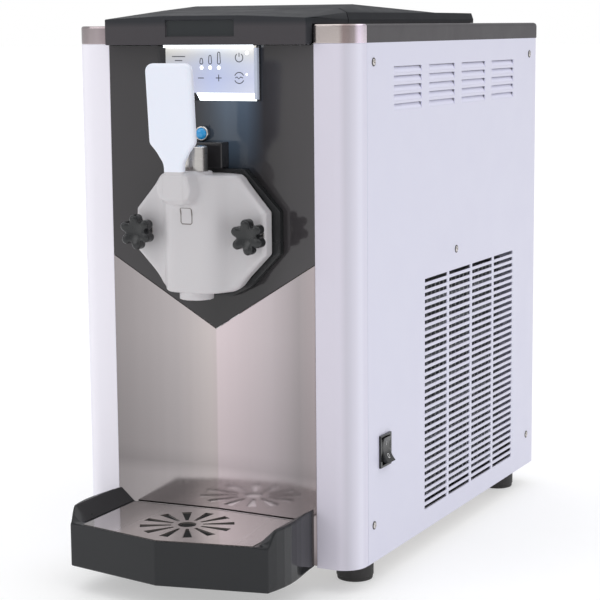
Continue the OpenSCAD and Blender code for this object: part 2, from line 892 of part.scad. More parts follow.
module shaft_seal() {
    color(soft_black) from_front() difference() {
        bar_y(seal_r, barrel_len + 4, barrel_len + 15, 0, axis_z);
        bar_y(7.96, barrel_len, barrel_len + 20, 0, axis_z);
    }
}

// Geared motor that turns the dasher, in line behind the cylinder.
module gear_motor() {
    y0 = barrel_len + 17;
    color([0.35, 0.36, 0.38]) from_front() difference() {
        union() {
            translate([-46, y0, axis_z - 46]) cube([92, 62, 92]);
            bar_y(40, y0 + 62, y0 + 170, 0, axis_z);
            for (i = [0 : 6])
                bar_y(43, y0 + 74 + i * 12, y0 + 78 + i * 12, 0, axis_z);
            bar_y(30, y0 + 170, y0 + 182, 0, axis_z);
        }
        bar_y(8, y0 - 1, y0 + 30, 0, axis_z);
    }
}

// Bent steel shelf under the gear case, on one leg at the rear.
module motor_bracket() {
    y0 = barrel_len + 22;
    y1 = cab_d - 9;
    top = axis_z - 46;
    t = 3;
    color(steel) from_front() along_x(-46, 46) polygon([
        [y0, top], [y0, top - t], [y1 - t, top - t], [y1 - t, body_z0 + 1.5],
        [y1, body_z0 + 1.5], [y1, top]
    ]);
}

// ---- Refrigeration group, in the bottom of the cabinet ----

module compressor() {
    z0 = body_z0 + 13.5;
    color([0.1, 0.1, 0.11]) from_front() translate([comp_x, comp_y, 0]) {
        translate([0, 0, z0]) cube([150, 100, 4], center = true);
        translate([0, 0, z0 + 2]) cylinder(r = comp_r - 4, h = 20);
        translate([0, 0, z0 + 22]) cylinder(r = comp_r, h = 70);
        translate([0, 0, z0 + 92]) cylinder(r1 = comp_r, r2 = 34, h = 26);
        translate([-comp_r - 8, -14, z0 + 32]) cube([20, 28, 40]);
    }
}

module compressor_mounts() {
    z0 = body_z0 + 1.5;
    color(soft_black) from_front() for (x = [-66, 66], y = [-42, 42])
        translate([comp_x + x, comp_y + y, z0]) cylinder(r = 9, h = 10);
}

// Finned heat exchanger behind the right side grille.
module condenser() {
    y0 = 172;
    y1 = 398;
    z0 = body_z0 + 8;
    z1 = 262;
    fins = 20;
    pitch = (y1 - y0 - 8) / fins;
    color([0.7, 0.72, 0.74]) from_front() {
        for (i = [0 : fins])
            block([106, y0 + 3 + i * pitch, z0], [132, y0 + 4 + i * pitch, z1]);
        for (x = [112, 125], z = [z0 + 14 : 28 : z1 - 10])
            bar_y(4.2, y0 - 6, y1 + 6, x, z);
        for (y = [y0 - 2, y1])
            block([104, y, body_z0 + 1.5], [134, y + 2, z1 + 3]);
    }
}

// Sheet duct between the fan and the condenser.
module fan_shroud() {
    y0 = 168;
    y1 = 402;
    z1 = 266;
    color([0.3, 0.31, 0.33]) from_front() difference() {
        block([duct_x, y0, body_z0 + 1.5], [103.5, y1, z1]);
        block([duct_x + 2, y0 + 2, body_z0 + 4], [104, y1 - 2, z1 - 2]);
        bar_x(fan_r + 4, 80, 90, fan_y, fan_z);
    }
}

// Fan motor on four bent arms that stand on the duct.
module fan_motor() {
    color([0.25, 0.26, 0.28]) from_front() difference() {
        union() {
            bar_x(26, 32, 62, fan_y, fan_z);
            for (a = [45 : 90 : 315])
                translate([0, fan_y, fan_z]) rotate([a, 0, 0]) translate([0, 0, -3])
                    linear_extrude(6) polygon([
                        [58, 22], [60, 22], [60, fan_r + 10], [duct_x, fan_r + 10],
                        [duct_x, fan_r + 16], [58, fan_r + 16]
                    ]);
        }
        bar_x(fan_shaft_r + run_gap, 45, 70, fan_y, fan_z);
    }
}

module condenser_fan() {
    blades = 5;
    color([0.55, 0.57, 0.6]) from_front() translate([0, fan_y, fan_z]) {
        difference() {
            bar_x(18, 66, 86);
            bar_x(12, 60, 70);
        }
        bar_x(fan_shaft_r, 47, 78);
        for (i = [0 : blades - 1])
            rotate([i * 360 / blades, 0, 0]) translate([76, 16, 0]) rotate([0, 32, 0])
                block([-0.8, 0, -16], [0.8, fan_r - 18, 16]);
    }
}

// Copper lines: the hot line to the condenser and the cold line back from the cylinder.
module refrigerant_pipes() {
    r = 3.2;
    top_z = body_z0 + 150;
    color(copper) from_front() {
        translate([comp_x, comp_y, comp_z1]) cylinder(r = r, h = top_z - comp_z1 + r);
        bar_y(r, 150, comp_y, comp_x, top_z);
        translate([comp_x, 150, top_z]) cylinder(r = r, h = axis_z - 71 - top_z);
        bar_y(r, 150, 166, 112, 240);
        bar_x(r, comp_x, 112, 150, 240);
        bar_y(9, 60, 140, -110, 240);
        bar_x(r, -110, comp_x, 150, 240);
        bar_y(r, 140, 150, -110, 240);
    }
}

// ---- Electrics ----

module control_board() {
    color([0.15, 0.35, 0.22]) from_front() {
        block([-60, 20, 425], [60, 21.6, 490]);
        for (x = [-45 : 22 : 43])
            block([x, 21.6, 440], [x + 14, 33, 468]);
        for (x = [-52, 46], z = [430, 480])
            bar_y(3, 12, 20, x + 3, z);
    }
}

// Three-pin mains inlet, moulded round its pins.
module power_inlet() {
    pins = [[-7, -2], [0, 2], [7, -2]];
    depth = 16;
    color(black) from_front() translate([inlet_c[0], 0, inlet_c[1]]) {
        difference() {
            union() {
                along_y(cab_d - 22, cab_d) square(inlet_body, center = true);
                along_y(cab_d, cab_d + 2) square(inlet_body + [6, 5], center = true);
            }
            along_y(cab_d - depth, cab_d + 3) square([24, 16.4], center = true);
        }
        for (p = pins)
            block([p[0] - 1, cab_d - depth - 2, p[1] - 2], [p[0] + 1, cab_d - 4, p[1] + 2]);
    }
}

// ---- Drip tray ----

// Side of the tray bows out a little between the posts and its front corners.
function tray_side(k) = [102.6 + 5.6 * sin(180 * pow(k, 1.4)) - k, -0.8 - 90.2 * k];

module tray_plan(inset) {
    steps = 8;
    side = [for (i = [0 : steps]) tray_side(i / steps) + [-inset, 0]];
    polygon(concat(
        [[0, crease_d - 1 - inset], [panel_hw - 2 - inset, -0.4 - inset]],
        [for (p = side) [p[0], min(p[1], -0.8 - inset)]],
        [[0, -tray_reach + inset]],
        [for (i = [steps : -1 : 0]) [-side[i][0], min(side[i][1], -0.8 - inset)]],
        [[-panel_hw + 2 + inset, -0.4 - inset]]
    ));
}

module tray_hooks() {
    color(steel) from_front() for (x = tray_hook_x) {
        block([x - 6, -6, 48], [x + 6, 14, 51]);
        block([x - 6, -6, 51], [x + 6, -3.5, 56]);
    }
}

module cheek() {
    z0 = plate_z - 8;
    inner = plate_hw + 1;
    hull() {
        block([inner, -72, z0], [inner + 1, -1, plate_z]);
        block([inner, -90, z0], [100, -86, plate_z]);
        block([102.4, -70, z0], [104.6, -1, cheek_z]);
        block([104, -82, z0 + 2], [106.6, -58, cheek_z - 3]);
    }
}

module drip_tray() {
    ledge_z = plate_z - plate_t;
    color(black) from_front() difference() {
        union() {
            translate([0, 0, tray_z0]) linear_extrude(plate_z - tray_z0) tray_plan(0);
            both_sides() cheek();
        }
        translate([0, 0, tray_z0 + tray_wall]) linear_extrude(60) difference() {
            intersection() {
                tray_plan(tray_wall + 2);
                translate([-plate_hw + 4, -120]) square([2 * plate_hw - 8, 140]);
            }
            for (x = tray_hook_x)
                translate([x - 10, -11]) square([20, 20]);
        }
        translate([0, 0, ledge_z - 0.2]) linear_extrude(20) plate_plan(0.4);
        for (x = tray_hook_x)
            block([x - 7, -8, 40], [x + 7, 10, 58]);
    }
}

module plate_plan(grow) {
    w = plate_hw + grow;
    rear_y = -3 + grow;
    corner_y = -91.8 - grow;
    polygon([
        [-w, rear_y], [0, crease_d - 4 + grow], [w, rear_y], [w, corner_y],
        [0, -tray_reach + 2.2 - grow], [-w, corner_y]
    ]);
}

module drip_plate() {
    r0 = 14.5;
    r1 = 43;
    color(steel) from_front() translate([0, 0, plate_z - plate_t]) linear_extrude(plate_t)
        difference() {
            plate_plan(0);
            translate([0, plate_cy]) {
                circle(8.5);
                for (i = [0 : plate_slots - 1])
                    rotate(i * 360 / plate_slots)
                        polygon([[r0, -1.3], [r1, -4.6], [r1, 4.6], [r0, 1.3]]);
            }
        }
}

base_pan();
feet();
foot_screws();
post_left();
post_right();
side_panel_left();
side_panel_right();
rear_panel();
panel_screws();
trim_left();
trim_right();
top_cap();
front_hood();
front_panel();
door_flange();
backsplash();
display_bezel();
display_panel();
display_light();
hood_light();
guide_block();
button_ring();
push_button();
switch_bezel();
switch_rocker();
door_studs();
door();
door_gasket();
dasher_bush();
knob_washers();
lever_pin();
lever();
piston();
piston_seals();
knob_left();
knob_right();
hopper_tank();
tank_lid();
feed_tube();
freezing_cylinder();
evaporator_coil();
insulation();
dasher();
scraper_blades();
shaft_seal();
gear_motor();
motor_bracket();
compressor();
compressor_mounts();
condenser();
fan_shroud();
fan_motor();
condenser_fan();
refrigerant_pipes();
control_board();
power_inlet();
tray_hooks();
drip_tray();
drip_plate();
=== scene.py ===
import json
import math

import bmesh
import bpy
import numpy as np
from mathutils import Matrix, Vector


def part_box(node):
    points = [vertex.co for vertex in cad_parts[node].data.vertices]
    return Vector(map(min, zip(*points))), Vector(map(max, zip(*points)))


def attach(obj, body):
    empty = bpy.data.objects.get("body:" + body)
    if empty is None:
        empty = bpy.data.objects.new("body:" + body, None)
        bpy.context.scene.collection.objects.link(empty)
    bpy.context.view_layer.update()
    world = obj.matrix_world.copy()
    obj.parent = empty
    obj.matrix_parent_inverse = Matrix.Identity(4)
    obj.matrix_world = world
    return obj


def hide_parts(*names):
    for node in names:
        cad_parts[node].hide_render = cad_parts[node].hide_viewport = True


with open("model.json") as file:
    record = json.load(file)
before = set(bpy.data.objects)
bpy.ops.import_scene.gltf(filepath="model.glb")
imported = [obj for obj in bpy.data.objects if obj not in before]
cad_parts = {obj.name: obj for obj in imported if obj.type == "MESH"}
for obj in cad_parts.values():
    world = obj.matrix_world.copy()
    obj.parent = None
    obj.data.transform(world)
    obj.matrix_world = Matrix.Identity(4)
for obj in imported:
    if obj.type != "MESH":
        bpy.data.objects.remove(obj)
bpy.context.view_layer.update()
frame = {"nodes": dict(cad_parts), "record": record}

NODES = frame["nodes"]
BODY_OF = {n: b for b, ns in frame["record"]["behaviour"]["bodies"].items() for n in ns}
SLOT_OF = {s["node"]: s["material_slot"] for s in frame["record"]["subparts"]}
MM = 0.001
WELD = 0.000005     # metres: corners of the CAD mesh closer than this are one
SCENE = bpy.context.scene
ROUGH_VARY = 0.15   # how far a material's roughness varies, as a share of it
SHARP = 32          # degrees: edges that turn more than this are bevelled

# Local frame, in millimetres: depth 0 at the front face of the corner posts, height from the
# worktop.
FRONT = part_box("post_right")[0].y


def to_row(p):
    """A point of the local frame, in scene units."""
    return Vector((p[0] * MM, p[1] * MM + FRONT, p[2] * MM))


def to_local(p):
    """A scene point in the local frame, in millimetres."""
    return (p - Vector((0, FRONT, 0))) / MM


def local_box(node):
    """Lowest and highest corner of a CAD node in the local frame."""
    return [to_local(c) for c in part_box(node)]


# ---------------------------------------------------------------- materials

def fill(node, **values):
    """Sets inputs of a shader node by name, with _ for a space."""
    for name, value in values.items():
        node.inputs[name.replace("_", " ")].default_value = value
    return node


def noise(nodes, links, coords, scale, detail, rough, stretch):
    """Noise over the object's own coordinates. A small stretch draws it out along that axis."""
    mapping = fill(nodes.new("ShaderNodeMapping"), Scale=stretch)
    tex = fill(nodes.new("ShaderNodeTexNoise"), Scale=scale, Detail=detail, Roughness=rough)
    links.new(coords.outputs["Object"], mapping.inputs["Vector"])
    links.new(mapping.outputs["Vector"], tex.inputs["Vector"])
    return tex.outputs["Fac"]


def material(name, base, rough, metal=0.0, vary=0.03, tint_scale=14, grain=900,
             grain_depth=0.00002, stretch=(1, 1, 1), coat=0.0, coat_rough=0.05, specular=0.5,
             subsurface=0.0, emission=None, strength=0.0):
    """A surface with uneven tint and roughness and a fine bump. vary is a share of the base
    colour, and grain_depth is in metres."""
    mat = bpy.data.materials.new(name)
    mat.use_nodes = True
    nodes, links = mat.node_tree.nodes, mat.node_tree.links
    shader = nodes["Principled BSDF"]
    coords = nodes.new("ShaderNodeTexCoord")
    tint = nodes.new("ShaderNodeMix")
    tint.data_type = "RGBA"
    fill(tint, A=(*[c * (1 - vary) for c in base], 1),
         B=(*[min(1, c * (1 + vary)) for c in base], 1))
    blot = noise(nodes, links, coords, tint_scale, 3.0, 0.55, stretch)
    links.new(blot, tint.inputs["Factor"])
    links.new(tint.outputs["Result"], shader.inputs["Base Color"])
    smear = noise(nodes, links, coords, tint_scale * 2.6, 4.0, 0.6, stretch)
    spread = fill(nodes.new("ShaderNodeMapRange"), From_Min=0.3, From_Max=0.7,
                  To_Min=rough * (1 - ROUGH_VARY), To_Max=min(1, rough * (1 + ROUGH_VARY)))
    links.new(smear, spread.inputs["Value"])
    links.new(spread.outputs["Result"], shader.inputs["Roughness"])
    if grain_depth:
        bump = fill(nodes.new("ShaderNodeBump"), Strength=0.6, Distance=grain_depth)
        links.new(noise(nodes, links, coords, grain, 2.0, 0.5, stretch), bump.inputs["Height"])
        links.new(bump.outputs["Normal"], shader.inputs["Normal"])
    fill(shader, Metallic=metal, IOR=1.5, Specular_IOR_Level=specular, Coat_Weight=coat,
         Coat_Roughness=coat_rough)
    if subsurface:
        fill(shader, Subsurface_Weight=subsurface, Subsurface_Radius=(0.004, 0.003, 0.003),
             Subsurface_Scale=1.0)
    if emission:
        fill(shader, Emission_Color=(*emission, 1), Emission_Strength=strength)
    return mat


def ramp_along(mat, axis, stops):
    """Colour that changes along one axis of the object. stops lists (millimetres, colour)."""
    nodes, links = mat.node_tree.nodes, mat.node_tree.links
    coords = nodes.new("ShaderNodeTexCoord")
    split = nodes.new("ShaderNodeSeparateXYZ")
    links.new(coords.outputs["Object"], split.inputs["Vector"])
    first, last = stops[0][0], stops[-1][0]
    place01 = fill(nodes.new("ShaderNodeMapRange"), From_Min=first * MM, From_Max=last * MM)
    links.new(split.outputs[axis], place01.inputs["Value"])
    ramp = nodes.new("ShaderNodeValToRGB")
    points = ramp.color_ramp.elements
    while len(points) < len(stops):
        points.new(0.5)
    for point, (at, colour) in zip(points, stops):
        point.position = (at - first) / (last - first)
        point.color = (*colour, 1)
    links.new(place01.outputs["Result"], ramp.inputs["Fac"])
    return ramp.outputs["Color"]


def shade_along(mat, axis, stops, socket="Base Color"):
    """Multiplies what feeds a colour socket by a ramp."""
    nodes, links = mat.node_tree.nodes, mat.node_tree.links
    target = nodes["Principled BSDF"].inputs[socket]
    mix = nodes.new("ShaderNodeMix")
    mix.data_type = "RGBA"
    mix.blend_type = "MULTIPLY"
    mix.inputs["Factor"].default_value = 1
    if target.links:
        links.new(target.links[0].from_socket, mix.inputs["A"])
    else:
        mix.inputs["A"].default_value = target.default_value
    links.new(ramp_along(mat, axis, stops), mix.inputs["B"])
    links.new(mix.outputs["Result"], target)


def grey(v):
    return (v, v, v)


# One look for each material slot of the record.
MATS = {name: material(name, **look) for name, look in {
    "white_paint": dict(base=(0.715, 0.71, 0.84), rough=0.42, vary=0.012, grain=1400,
        grain_depth=0.00003, coat=0.1, coat_rough=0.3),
    "polished_trim": dict(base=(0.62, 0.59, 0.57), rough=0.16, metal=1.0, grain=1800,
        grain_depth=0.00001),
    "gloss_black": dict(base=(0.024, 0.023, 0.025), rough=0.1, vary=0.08, grain=500,
        grain_depth=0.000006),
    "matte_black": dict(base=(0.015, 0.016, 0.017), rough=0.26, vary=0.12, grain=1500,
        grain_depth=0.00005),
    "brushed_steel": dict(base=(0.55, 0.53, 0.51), rough=0.3, metal=1.0, vary=0.05, grain=300,
        grain_depth=0.000012, stretch=(1, 1, 14)),
    "mirror_steel": dict(base=(0.46, 0.415, 0.41), rough=0.11, metal=0.55, grain=420,
        grain_depth=0.000006, stretch=(6, 1, 0.12)),
    "white_plastic": dict(base=(0.60, 0.58, 0.595), rough=0.36, vary=0.01, grain=700,
        grain_depth=0.00003, subsurface=0.12),
    "rubber": dict(base=(0.032, 0.030, 0.030), rough=0.62, vary=0.15, grain=1300,
        grain_depth=0.00007),
    # Painted light: the display face glows as if lit by the light strip above it.
    "display_face": dict(base=grey(0.25), rough=0.22, vary=0.02, grain_depth=0, emission=grey(1.0),
        strength=0.62),
    "light_strip": dict(base=(0.9, 0.95, 1.0), rough=0.4, vary=0.01, grain_depth=0,
        emission=(0.88, 0.94, 1.0), strength=2.4),
    "blue_plastic": dict(base=(0.015, 0.22, 0.48), rough=0.2, vary=0.05, grain_depth=0, coat=0.5,
        emission=(0.02, 0.28, 0.6), strength=0.35),
    "copper": dict(base=(0.62, 0.30, 0.17), rough=0.28, metal=1.0, vary=0.12, grain=600,
        grain_depth=0.00002),
    "foam": dict(base=(0.72, 0.62, 0.36), rough=0.9, vary=0.12, tint_scale=60, grain=500,
        grain_depth=0.0004),
    "motor_paint": dict(base=(0.03, 0.03, 0.032), rough=0.38, vary=0.2, grain=900,
        grain_depth=0.00005),
    "aluminium": dict(base=(0.55, 0.56, 0.58), rough=0.38, metal=1.0, vary=0.06, grain=700,
        grain_depth=0.00002, stretch=(1, 8, 1)),
    "circuit_board": dict(base=(0.02, 0.12, 0.05), rough=0.3, vary=0.2, tint_scale=160,
        grain_depth=0.00002, coat=0.3),
    "duct_black": dict(base=(0.03, 0.031, 0.034), rough=0.5, vary=0.1, grain=1000,
        grain_depth=0.00004),
}.items()}

# Painted light and shade: tones that change over a surface, as in the photograph.
# Painted light: the display's glow is brightest at its top, under the light strip.
shade_along(MATS["display_face"], "Z", [
    (453, (0.62, 0.68, 0.95)), (466, (0.52, 0.58, 0.88)), (478, (0.56, 0.62, 0.86)),
    (487, (0.66, 0.69, 0.78)), (495, (1.0, 1.0, 1.0))], "Emission Color")
# Painted light: white paint is 22% lighter everywhere inside the side panels' outer faces, which
# lifts the shade off the louvre blades sunk into them.
shade_along(MATS["white_paint"], "X", [
    (-145, grey(1)), (-144.6, grey(1)), (-144.2, grey(1.22)), (-135, grey(1.22)),
    (135, grey(1.22)), (144.2, grey(1.22)), (144.6, grey(1)), (145, grey(1))])
# Painted reflection and shade: the drip plate is darker towards its sides and brighter in its
# middle.
shade_along(MATS["mirror_steel"], "X", [
    (-88, grey(0.58)), (-62, grey(0.66)), (-36, grey(1.1)), (10, grey(1.1)), (60, grey(0.9)),
    (88, grey(0.74))])
# Painted light: the display's glow is dimmer and warmer at its left end and brighter towards its
# right end.
shade_along(MATS["display_face"], "X", [
    (-43, (0.85, 0.80, 0.68)), (-20, (0.92, 0.88, 0.82)), (5, (0.9, 0.95, 1.05)),
    (28, (1.08, 1.08, 1.04)), (47, (1.25, 1.2, 1.1))], "Emission Color")

# Pieces that look different from others in their slot.
splash = material("splash_painted_reflection", (0.425, 0.39, 0.393), 0.105, metal=1.0, vary=0.035,
                  tint_scale=26, grain=900, grain_depth=0.000004, stretch=(4, 1, 0.06))
# Painted reflection: the backsplash darkens towards its sides and lightens right of the middle,
# with a sharp step at the middle.
shade_along(splash, "X", [
    (-105, grey(0.60)), (-80, grey(0.70)), (-40, grey(0.86)), (-8, (1.10, 1.08, 1.06)),
    (-0.4, (1.12, 1.08, 1.07)), (0.4, (1.30, 1.22, 1.26)), (20, (1.22, 1.15, 1.19)),
    (60, (0.98, 0.95, 0.98)), (88, (0.70, 0.69, 0.70)), (105, (0.80, 0.76, 0.77))])
# Painted reflection: a darker band near 106 mm stands for the drip plate mirrored in the
# backsplash, and the backsplash lightens towards its top.
shade_along(splash, "Z", [
    (70, grey(1.0)), (94, grey(0.98)), (106, grey(0.78)), (120, grey(0.88)), (160, grey(0.95)),
    (230, grey(1.08)), (301, grey(1.12))])
post_painted_light = material("post_painted_light", (0.70, 0.68, 0.77), 0.4, vary=0.01, grain=1400,
                      grain_depth=0.00003, coat=0.1, coat_rough=0.3)
# Painted highlights and shade: bright and dark bands round the posts' rounded corners, lighter on
# the left post.
shade_along(post_painted_light, "X", [
    (-145, grey(0.7)), (-143.2, grey(0.76)), (-141.6, grey(1.18)), (-134, (1.32, 1.32, 1.26)),
    (-125, (1.26, 1.26, 1.21)), (-105, (1.22, 1.21, 1.17)),
    (105, (1.01, 0.99, 1.0)), (129, (1.01, 0.99, 1.0)),
    (134, (0.885, 0.875, 0.88)), (137, (0.93, 0.93, 0.94)), (141, (1.06, 1.06, 1.07)),
    (143.6, (1.17, 1.19, 1.20)), (144.8, (1.05, 1.05, 1.08)), (145, (1.03, 1.03, 1.07))])
trim_painted_reflection = material("trim_painted_reflection", (0.66, 0.585, 0.57), 0.12, metal=1.0, vary=0.03,
                      grain=1800, grain_depth=0.000008)
# Painted reflections: dark, light and glinting bands across the polished trims, near black at the
# left trim's outer edge.
shade_along(trim_painted_reflection, "X", [
    (-145, grey(0.05)), (-143, grey(0.10)), (-141.5, (0.42, 0.41, 0.42)),
    (-137, (0.6, 0.59, 0.61)), (-118, (0.76, 0.74, 0.78)), (-109, (0.62, 0.58, 0.62)),
    (-105, grey(0.2)),
    (105, (0.86, 0.86, 0.85)), (129, (0.92, 0.92, 0.9)), (133, (0.52, 0.46, 0.46)),
    (137, (0.5, 0.46, 0.46)), (140.5, (0.66, 0.64, 0.66)), (143, (1.6, 1.55, 1.85)),
    (144.6, (1.5, 1.45, 1.7)), (145, (1.3, 1.28, 1.45))])
hood_painted_shade = material("hood_painted_shade", (0.073, 0.068, 0.073), 0.45, vary=0.06, grain=1300,
                      grain_depth=0.00004, specular=0.04)
# Painted shade: the hood and lid are darker and cooler above 512 mm, on their tops.
shade_along(hood_painted_shade, "Z", [
    (497, grey(1)), (512, grey(1)), (517, (0.58, 0.64, 0.66)), (532, (0.54, 0.60, 0.62))])
# Painted shade: the hood's and lid's side facets, beyond 102.6 mm from the middle, are darker.
shade_along(hood_painted_shade, "X", [
    (-103.3, grey(0.55)), (-102.6, grey(1)), (102.2, grey(1)), (102.9, (0.6, 0.66, 0.7)),
    (103.3, (0.55, 0.62, 0.66))])
# Painted shade: a darker copy of the hood's black for the floor of the grip recess.
hood_pocket_painted_shade = material("hood_pocket_painted_shade", (0.040, 0.043, 0.045), 0.4, vary=0.06, grain=1300,
                       grain_depth=0.00004, specular=0.08)
cap_black = material("cap_black", (0.088, 0.083, 0.088), 0.4, vary=0.05, grain=1300,
                     grain_depth=0.00004, specular=0.12)
# Black panel whose glow below the display is painted light from the display's light strip.
panel_black_painted_light = material("panel_black_painted_light", (0.040, 0.0365, 0.039), 0.085, vary=0.06, grain=400,
                       grain_depth=0.000003, emission=(0.056, 0.09, 0.136), strength=1.0)
# Painted reflection: the panel is darkest in its middle and lighter towards its sides.
shade_along(panel_black_painted_light, "X", [
    (-105, grey(0.95)), (-50, grey(0.9)), (0, grey(0.45)), (45, grey(0.55)), (80, grey(1.1)),
    (105, grey(1.25))])
# The glow of the display's light strip on the panel below it.
shade_along(panel_black_painted_light, "X", [
    (-20, grey(0)), (-4, grey(0.3)), (14, grey(0.8)), (36, grey(0.7)), (54, grey(0))],
    "Emission Color")
shade_along(panel_black_painted_light, "Z", [
    (378, grey(0)), (400, grey(0.5)), (436, grey(1.0)), (447, grey(1.1))], "Emission Color")
tray_black = material("tray_black", (0.018, 0.019, 0.021), 0.12, vary=0.08, grain=600,
                      grain_depth=0.000006, specular=0.3)
# Painted light: a lighter copy of the tray's black for the inner faces of its cheeks.
tray_cheek_painted_light = material("tray_cheek_painted_light", (0.044, 0.044, 0.047), 0.3, vary=0.08, grain=600,
                      grain_depth=0.000006, specular=0.3)
lever_white = material("lever_white", (0.83, 0.86, 0.96), 0.34, vary=0.008, grain=700,
                       grain_depth=0.00003, subsurface=0.15)
ink = material("ink", (0.05, 0.055, 0.075), 0.5, vary=0.1, grain_depth=0.00001)
mark_white = material("mark_white", grey(0.8), 0.5, vary=0.03, grain_depth=0.00001)
lamp_white = material("lamp_white", (0.95, 0.98, 1.0), 0.3, vary=0.01, grain_depth=0,
                      emission=(0.92, 0.96, 1.0), strength=2.5)
# Painted light: a glowing strip for the lit right edge of the display.
edge_painted_glow = material("edge_painted_glow", (0.42, 0.45, 0.52), 0.2, vary=0.05, grain_depth=0,
                      emission=(0.5, 0.55, 0.7), strength=0.25)
groove_brown = material("groove_brown", (0.16, 0.14, 0.13), 0.6, vary=0.1, grain_depth=0.00001)

OWN = {"backsplash": splash, "post_left": post_painted_light, "post_right": post_painted_light,
       "trim_left": trim_painted_reflection, "trim_right": trim_painted_reflection, "front_hood": hood_painted_shade,
       "tank_lid": hood_painted_shade, "top_cap": cap_black, "front_panel": panel_black_painted_light,
       "drip_tray": tray_black, "lever": lever_white}
for name, node in NODES.items():
    node.data.materials.clear()
    node.data.materials.append(OWN.get(name) or MATS[SLOT_OF[name]])


# ---------------------------------------------------------------- mesh helpers

def place(obj, node):
    """Puts a finished mesh in for a CAD node: body, slot and material come from the record."""
    SCENE.collection.objects.link(obj)
    if not obj.data.materials:
        obj.data.materials.append(OWN.get(node) or MATS[SLOT_OF[node]])
    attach(obj, BODY_OF[node])
    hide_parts(node)
    return obj


def extra(obj, node, slot, mat=None):
    """A small detail that rides with a CAD node's body without standing for it."""
    SCENE.collection.objects.link(obj)
    obj.data.materials.append(mat or MATS[slot])
    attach(obj, BODY_OF[node])
    return obj


def paint(obj, mat, chosen):
    """Second material for the faces that pass a test of (middle in the local frame, normal)."""
    obj.data.materials.append(mat)
    for face in obj.data.polygons:
        face.material_index = 1 if chosen(to_local(face.center), face.normal) else 0


def smooth(mesh, angle=35):
    mesh.shade_smooth()
    mesh.set_sharp_from_angle(angle=math.radians(angle))


def add_bevel(obj, width, segments):
    bevel = obj.modifiers.new("bevel", "BEVEL")
    bevel.width = width * MM
    bevel.segments = segments
    bevel.limit_method = "ANGLE"
    bevel.angle_limit = math.radians(SHARP)
    bevel.harden_normals = True
    return obj


def refine(node, width, segments, wide=None):
    """A CAD node's own shape with its edges softened. wide is a width and a test of points, for
    the edges that are rounded more than the rest."""
    mesh = NODES[node].data.copy()
    bm = bmesh.new()
    bm.from_mesh(mesh)
    bmesh.ops.remove_doubles(bm, verts=bm.verts, dist=WELD)
    bmesh.ops.dissolve_limit(bm, angle_limit=math.radians(0.4), verts=bm.verts, edges=bm.edges)
    bmesh.ops.recalc_face_normals(bm, faces=bm.faces)
    if wide:
        weight = bm.edges.layers.float.new("bevel_weight_edge")
        for edge in bm.edges:
            if edge.is_manifold and edge.calc_face_angle() > math.radians(SHARP):
                far = all(wide[1](to_local(v.co)) for v in edge.verts)
                edge[weight] = 1 if far else width / wide[0]
    bm.to_mesh(mesh)
    bm.free()
    obj = bpy.data.objects.new(node + "_skin", mesh)
    smooth(mesh)
    add_bevel(obj, wide[0] if wide else width, segments)
    if wide:
        obj.modifiers["bevel"].limit_method = "WEIGHT"
    return place(obj, node)


def finished(bm, name, angle):
    mesh = bpy.data.meshes.new(name)
    bm.to_mesh(mesh)
    bm.free()
    smooth(mesh, angle)
    return bpy.data.objects.new(name, mesh)


def mesh_object(name, verts, faces):
    mesh = bpy.data.meshes.new(name)
    mesh.from_pydata([to_row(v) for v in verts], [], faces)
    mesh.update()
    smooth(mesh)
    return bpy.data.objects.new(name, mesh)


def block(name, lo, hi):
    """A plain box with sharp edges."""
    corners = [(x, y, z) for x in (lo[0], hi[0]) for y in (lo[1], hi[1]) for z in (lo[2], hi[2])]
    return mesh_object(name, corners, [(0, 1, 3, 2), (4, 6, 7, 5), (0, 4, 5, 1), (2, 3, 7, 6),
                                       (0, 2, 6, 4), (1, 5, 7, 3)])


def lathe(name, profile, centre, axis="z", steps=48, angle=35):
    """Closed ring or solid turned round an axis. profile lists (radius, along)."""
    turn = {"z": lambda r, a, t: (r * math.cos(t), r * math.sin(t), a),
            "y": lambda r, a, t: (r * math.cos(t), a, r * math.sin(t)),
            "x": lambda r, a, t: (a, r * math.cos(t), r * math.sin(t))}[axis]
    bm = bmesh.new()
    rings = []
    for r, a in profile:
        if r < 1e-6:
            p = turn(0, a, 0)
            rings.append([bm.verts.new(to_row([c + q for c, q in zip(centre, p)]))])
        else:
            ring = []
            for i in range(steps):
                p = turn(r, a, 2 * math.pi * i / steps)
                ring.append(bm.verts.new(to_row([c + q for c, q in zip(centre, p)])))
            rings.append(ring)
    closed = profile[0] != profile[-1] and profile[0][0] > 1e-6
    pairs = list(zip(rings, rings[1:])) + ([(rings[-1], rings[0])] if closed else [])
    for low, high in pairs:
        for i in range(steps):
            j = (i + 1) % steps
            quad = [low[i % len(low)], low[j % len(low)], high[j % len(high)], high[i % len(high)]]
            quad = list(dict.fromkeys(quad))
            if len(quad) > 2:
                bm.faces.new(quad)
    bmesh.ops.recalc_face_normals(bm, faces=bm.faces)
    return finished(bm, name, angle)


# ---------------------------------------------------------------- rounded solids from distances
# Shapes are distances to points of the local frame, negative inside. skin() makes the meshes.

def smin(a, b, k):
    """The nearer of two shapes, blended over k millimetres."""
    h = np.maximum(k - np.abs(a - b), 0) / k
    return np.minimum(a, b) - h * h * k / 4


def smax(a, b, k):
    """What two shapes share, with the edge between them rounded over k millimetres."""
    return -smin(-a, -b, k)


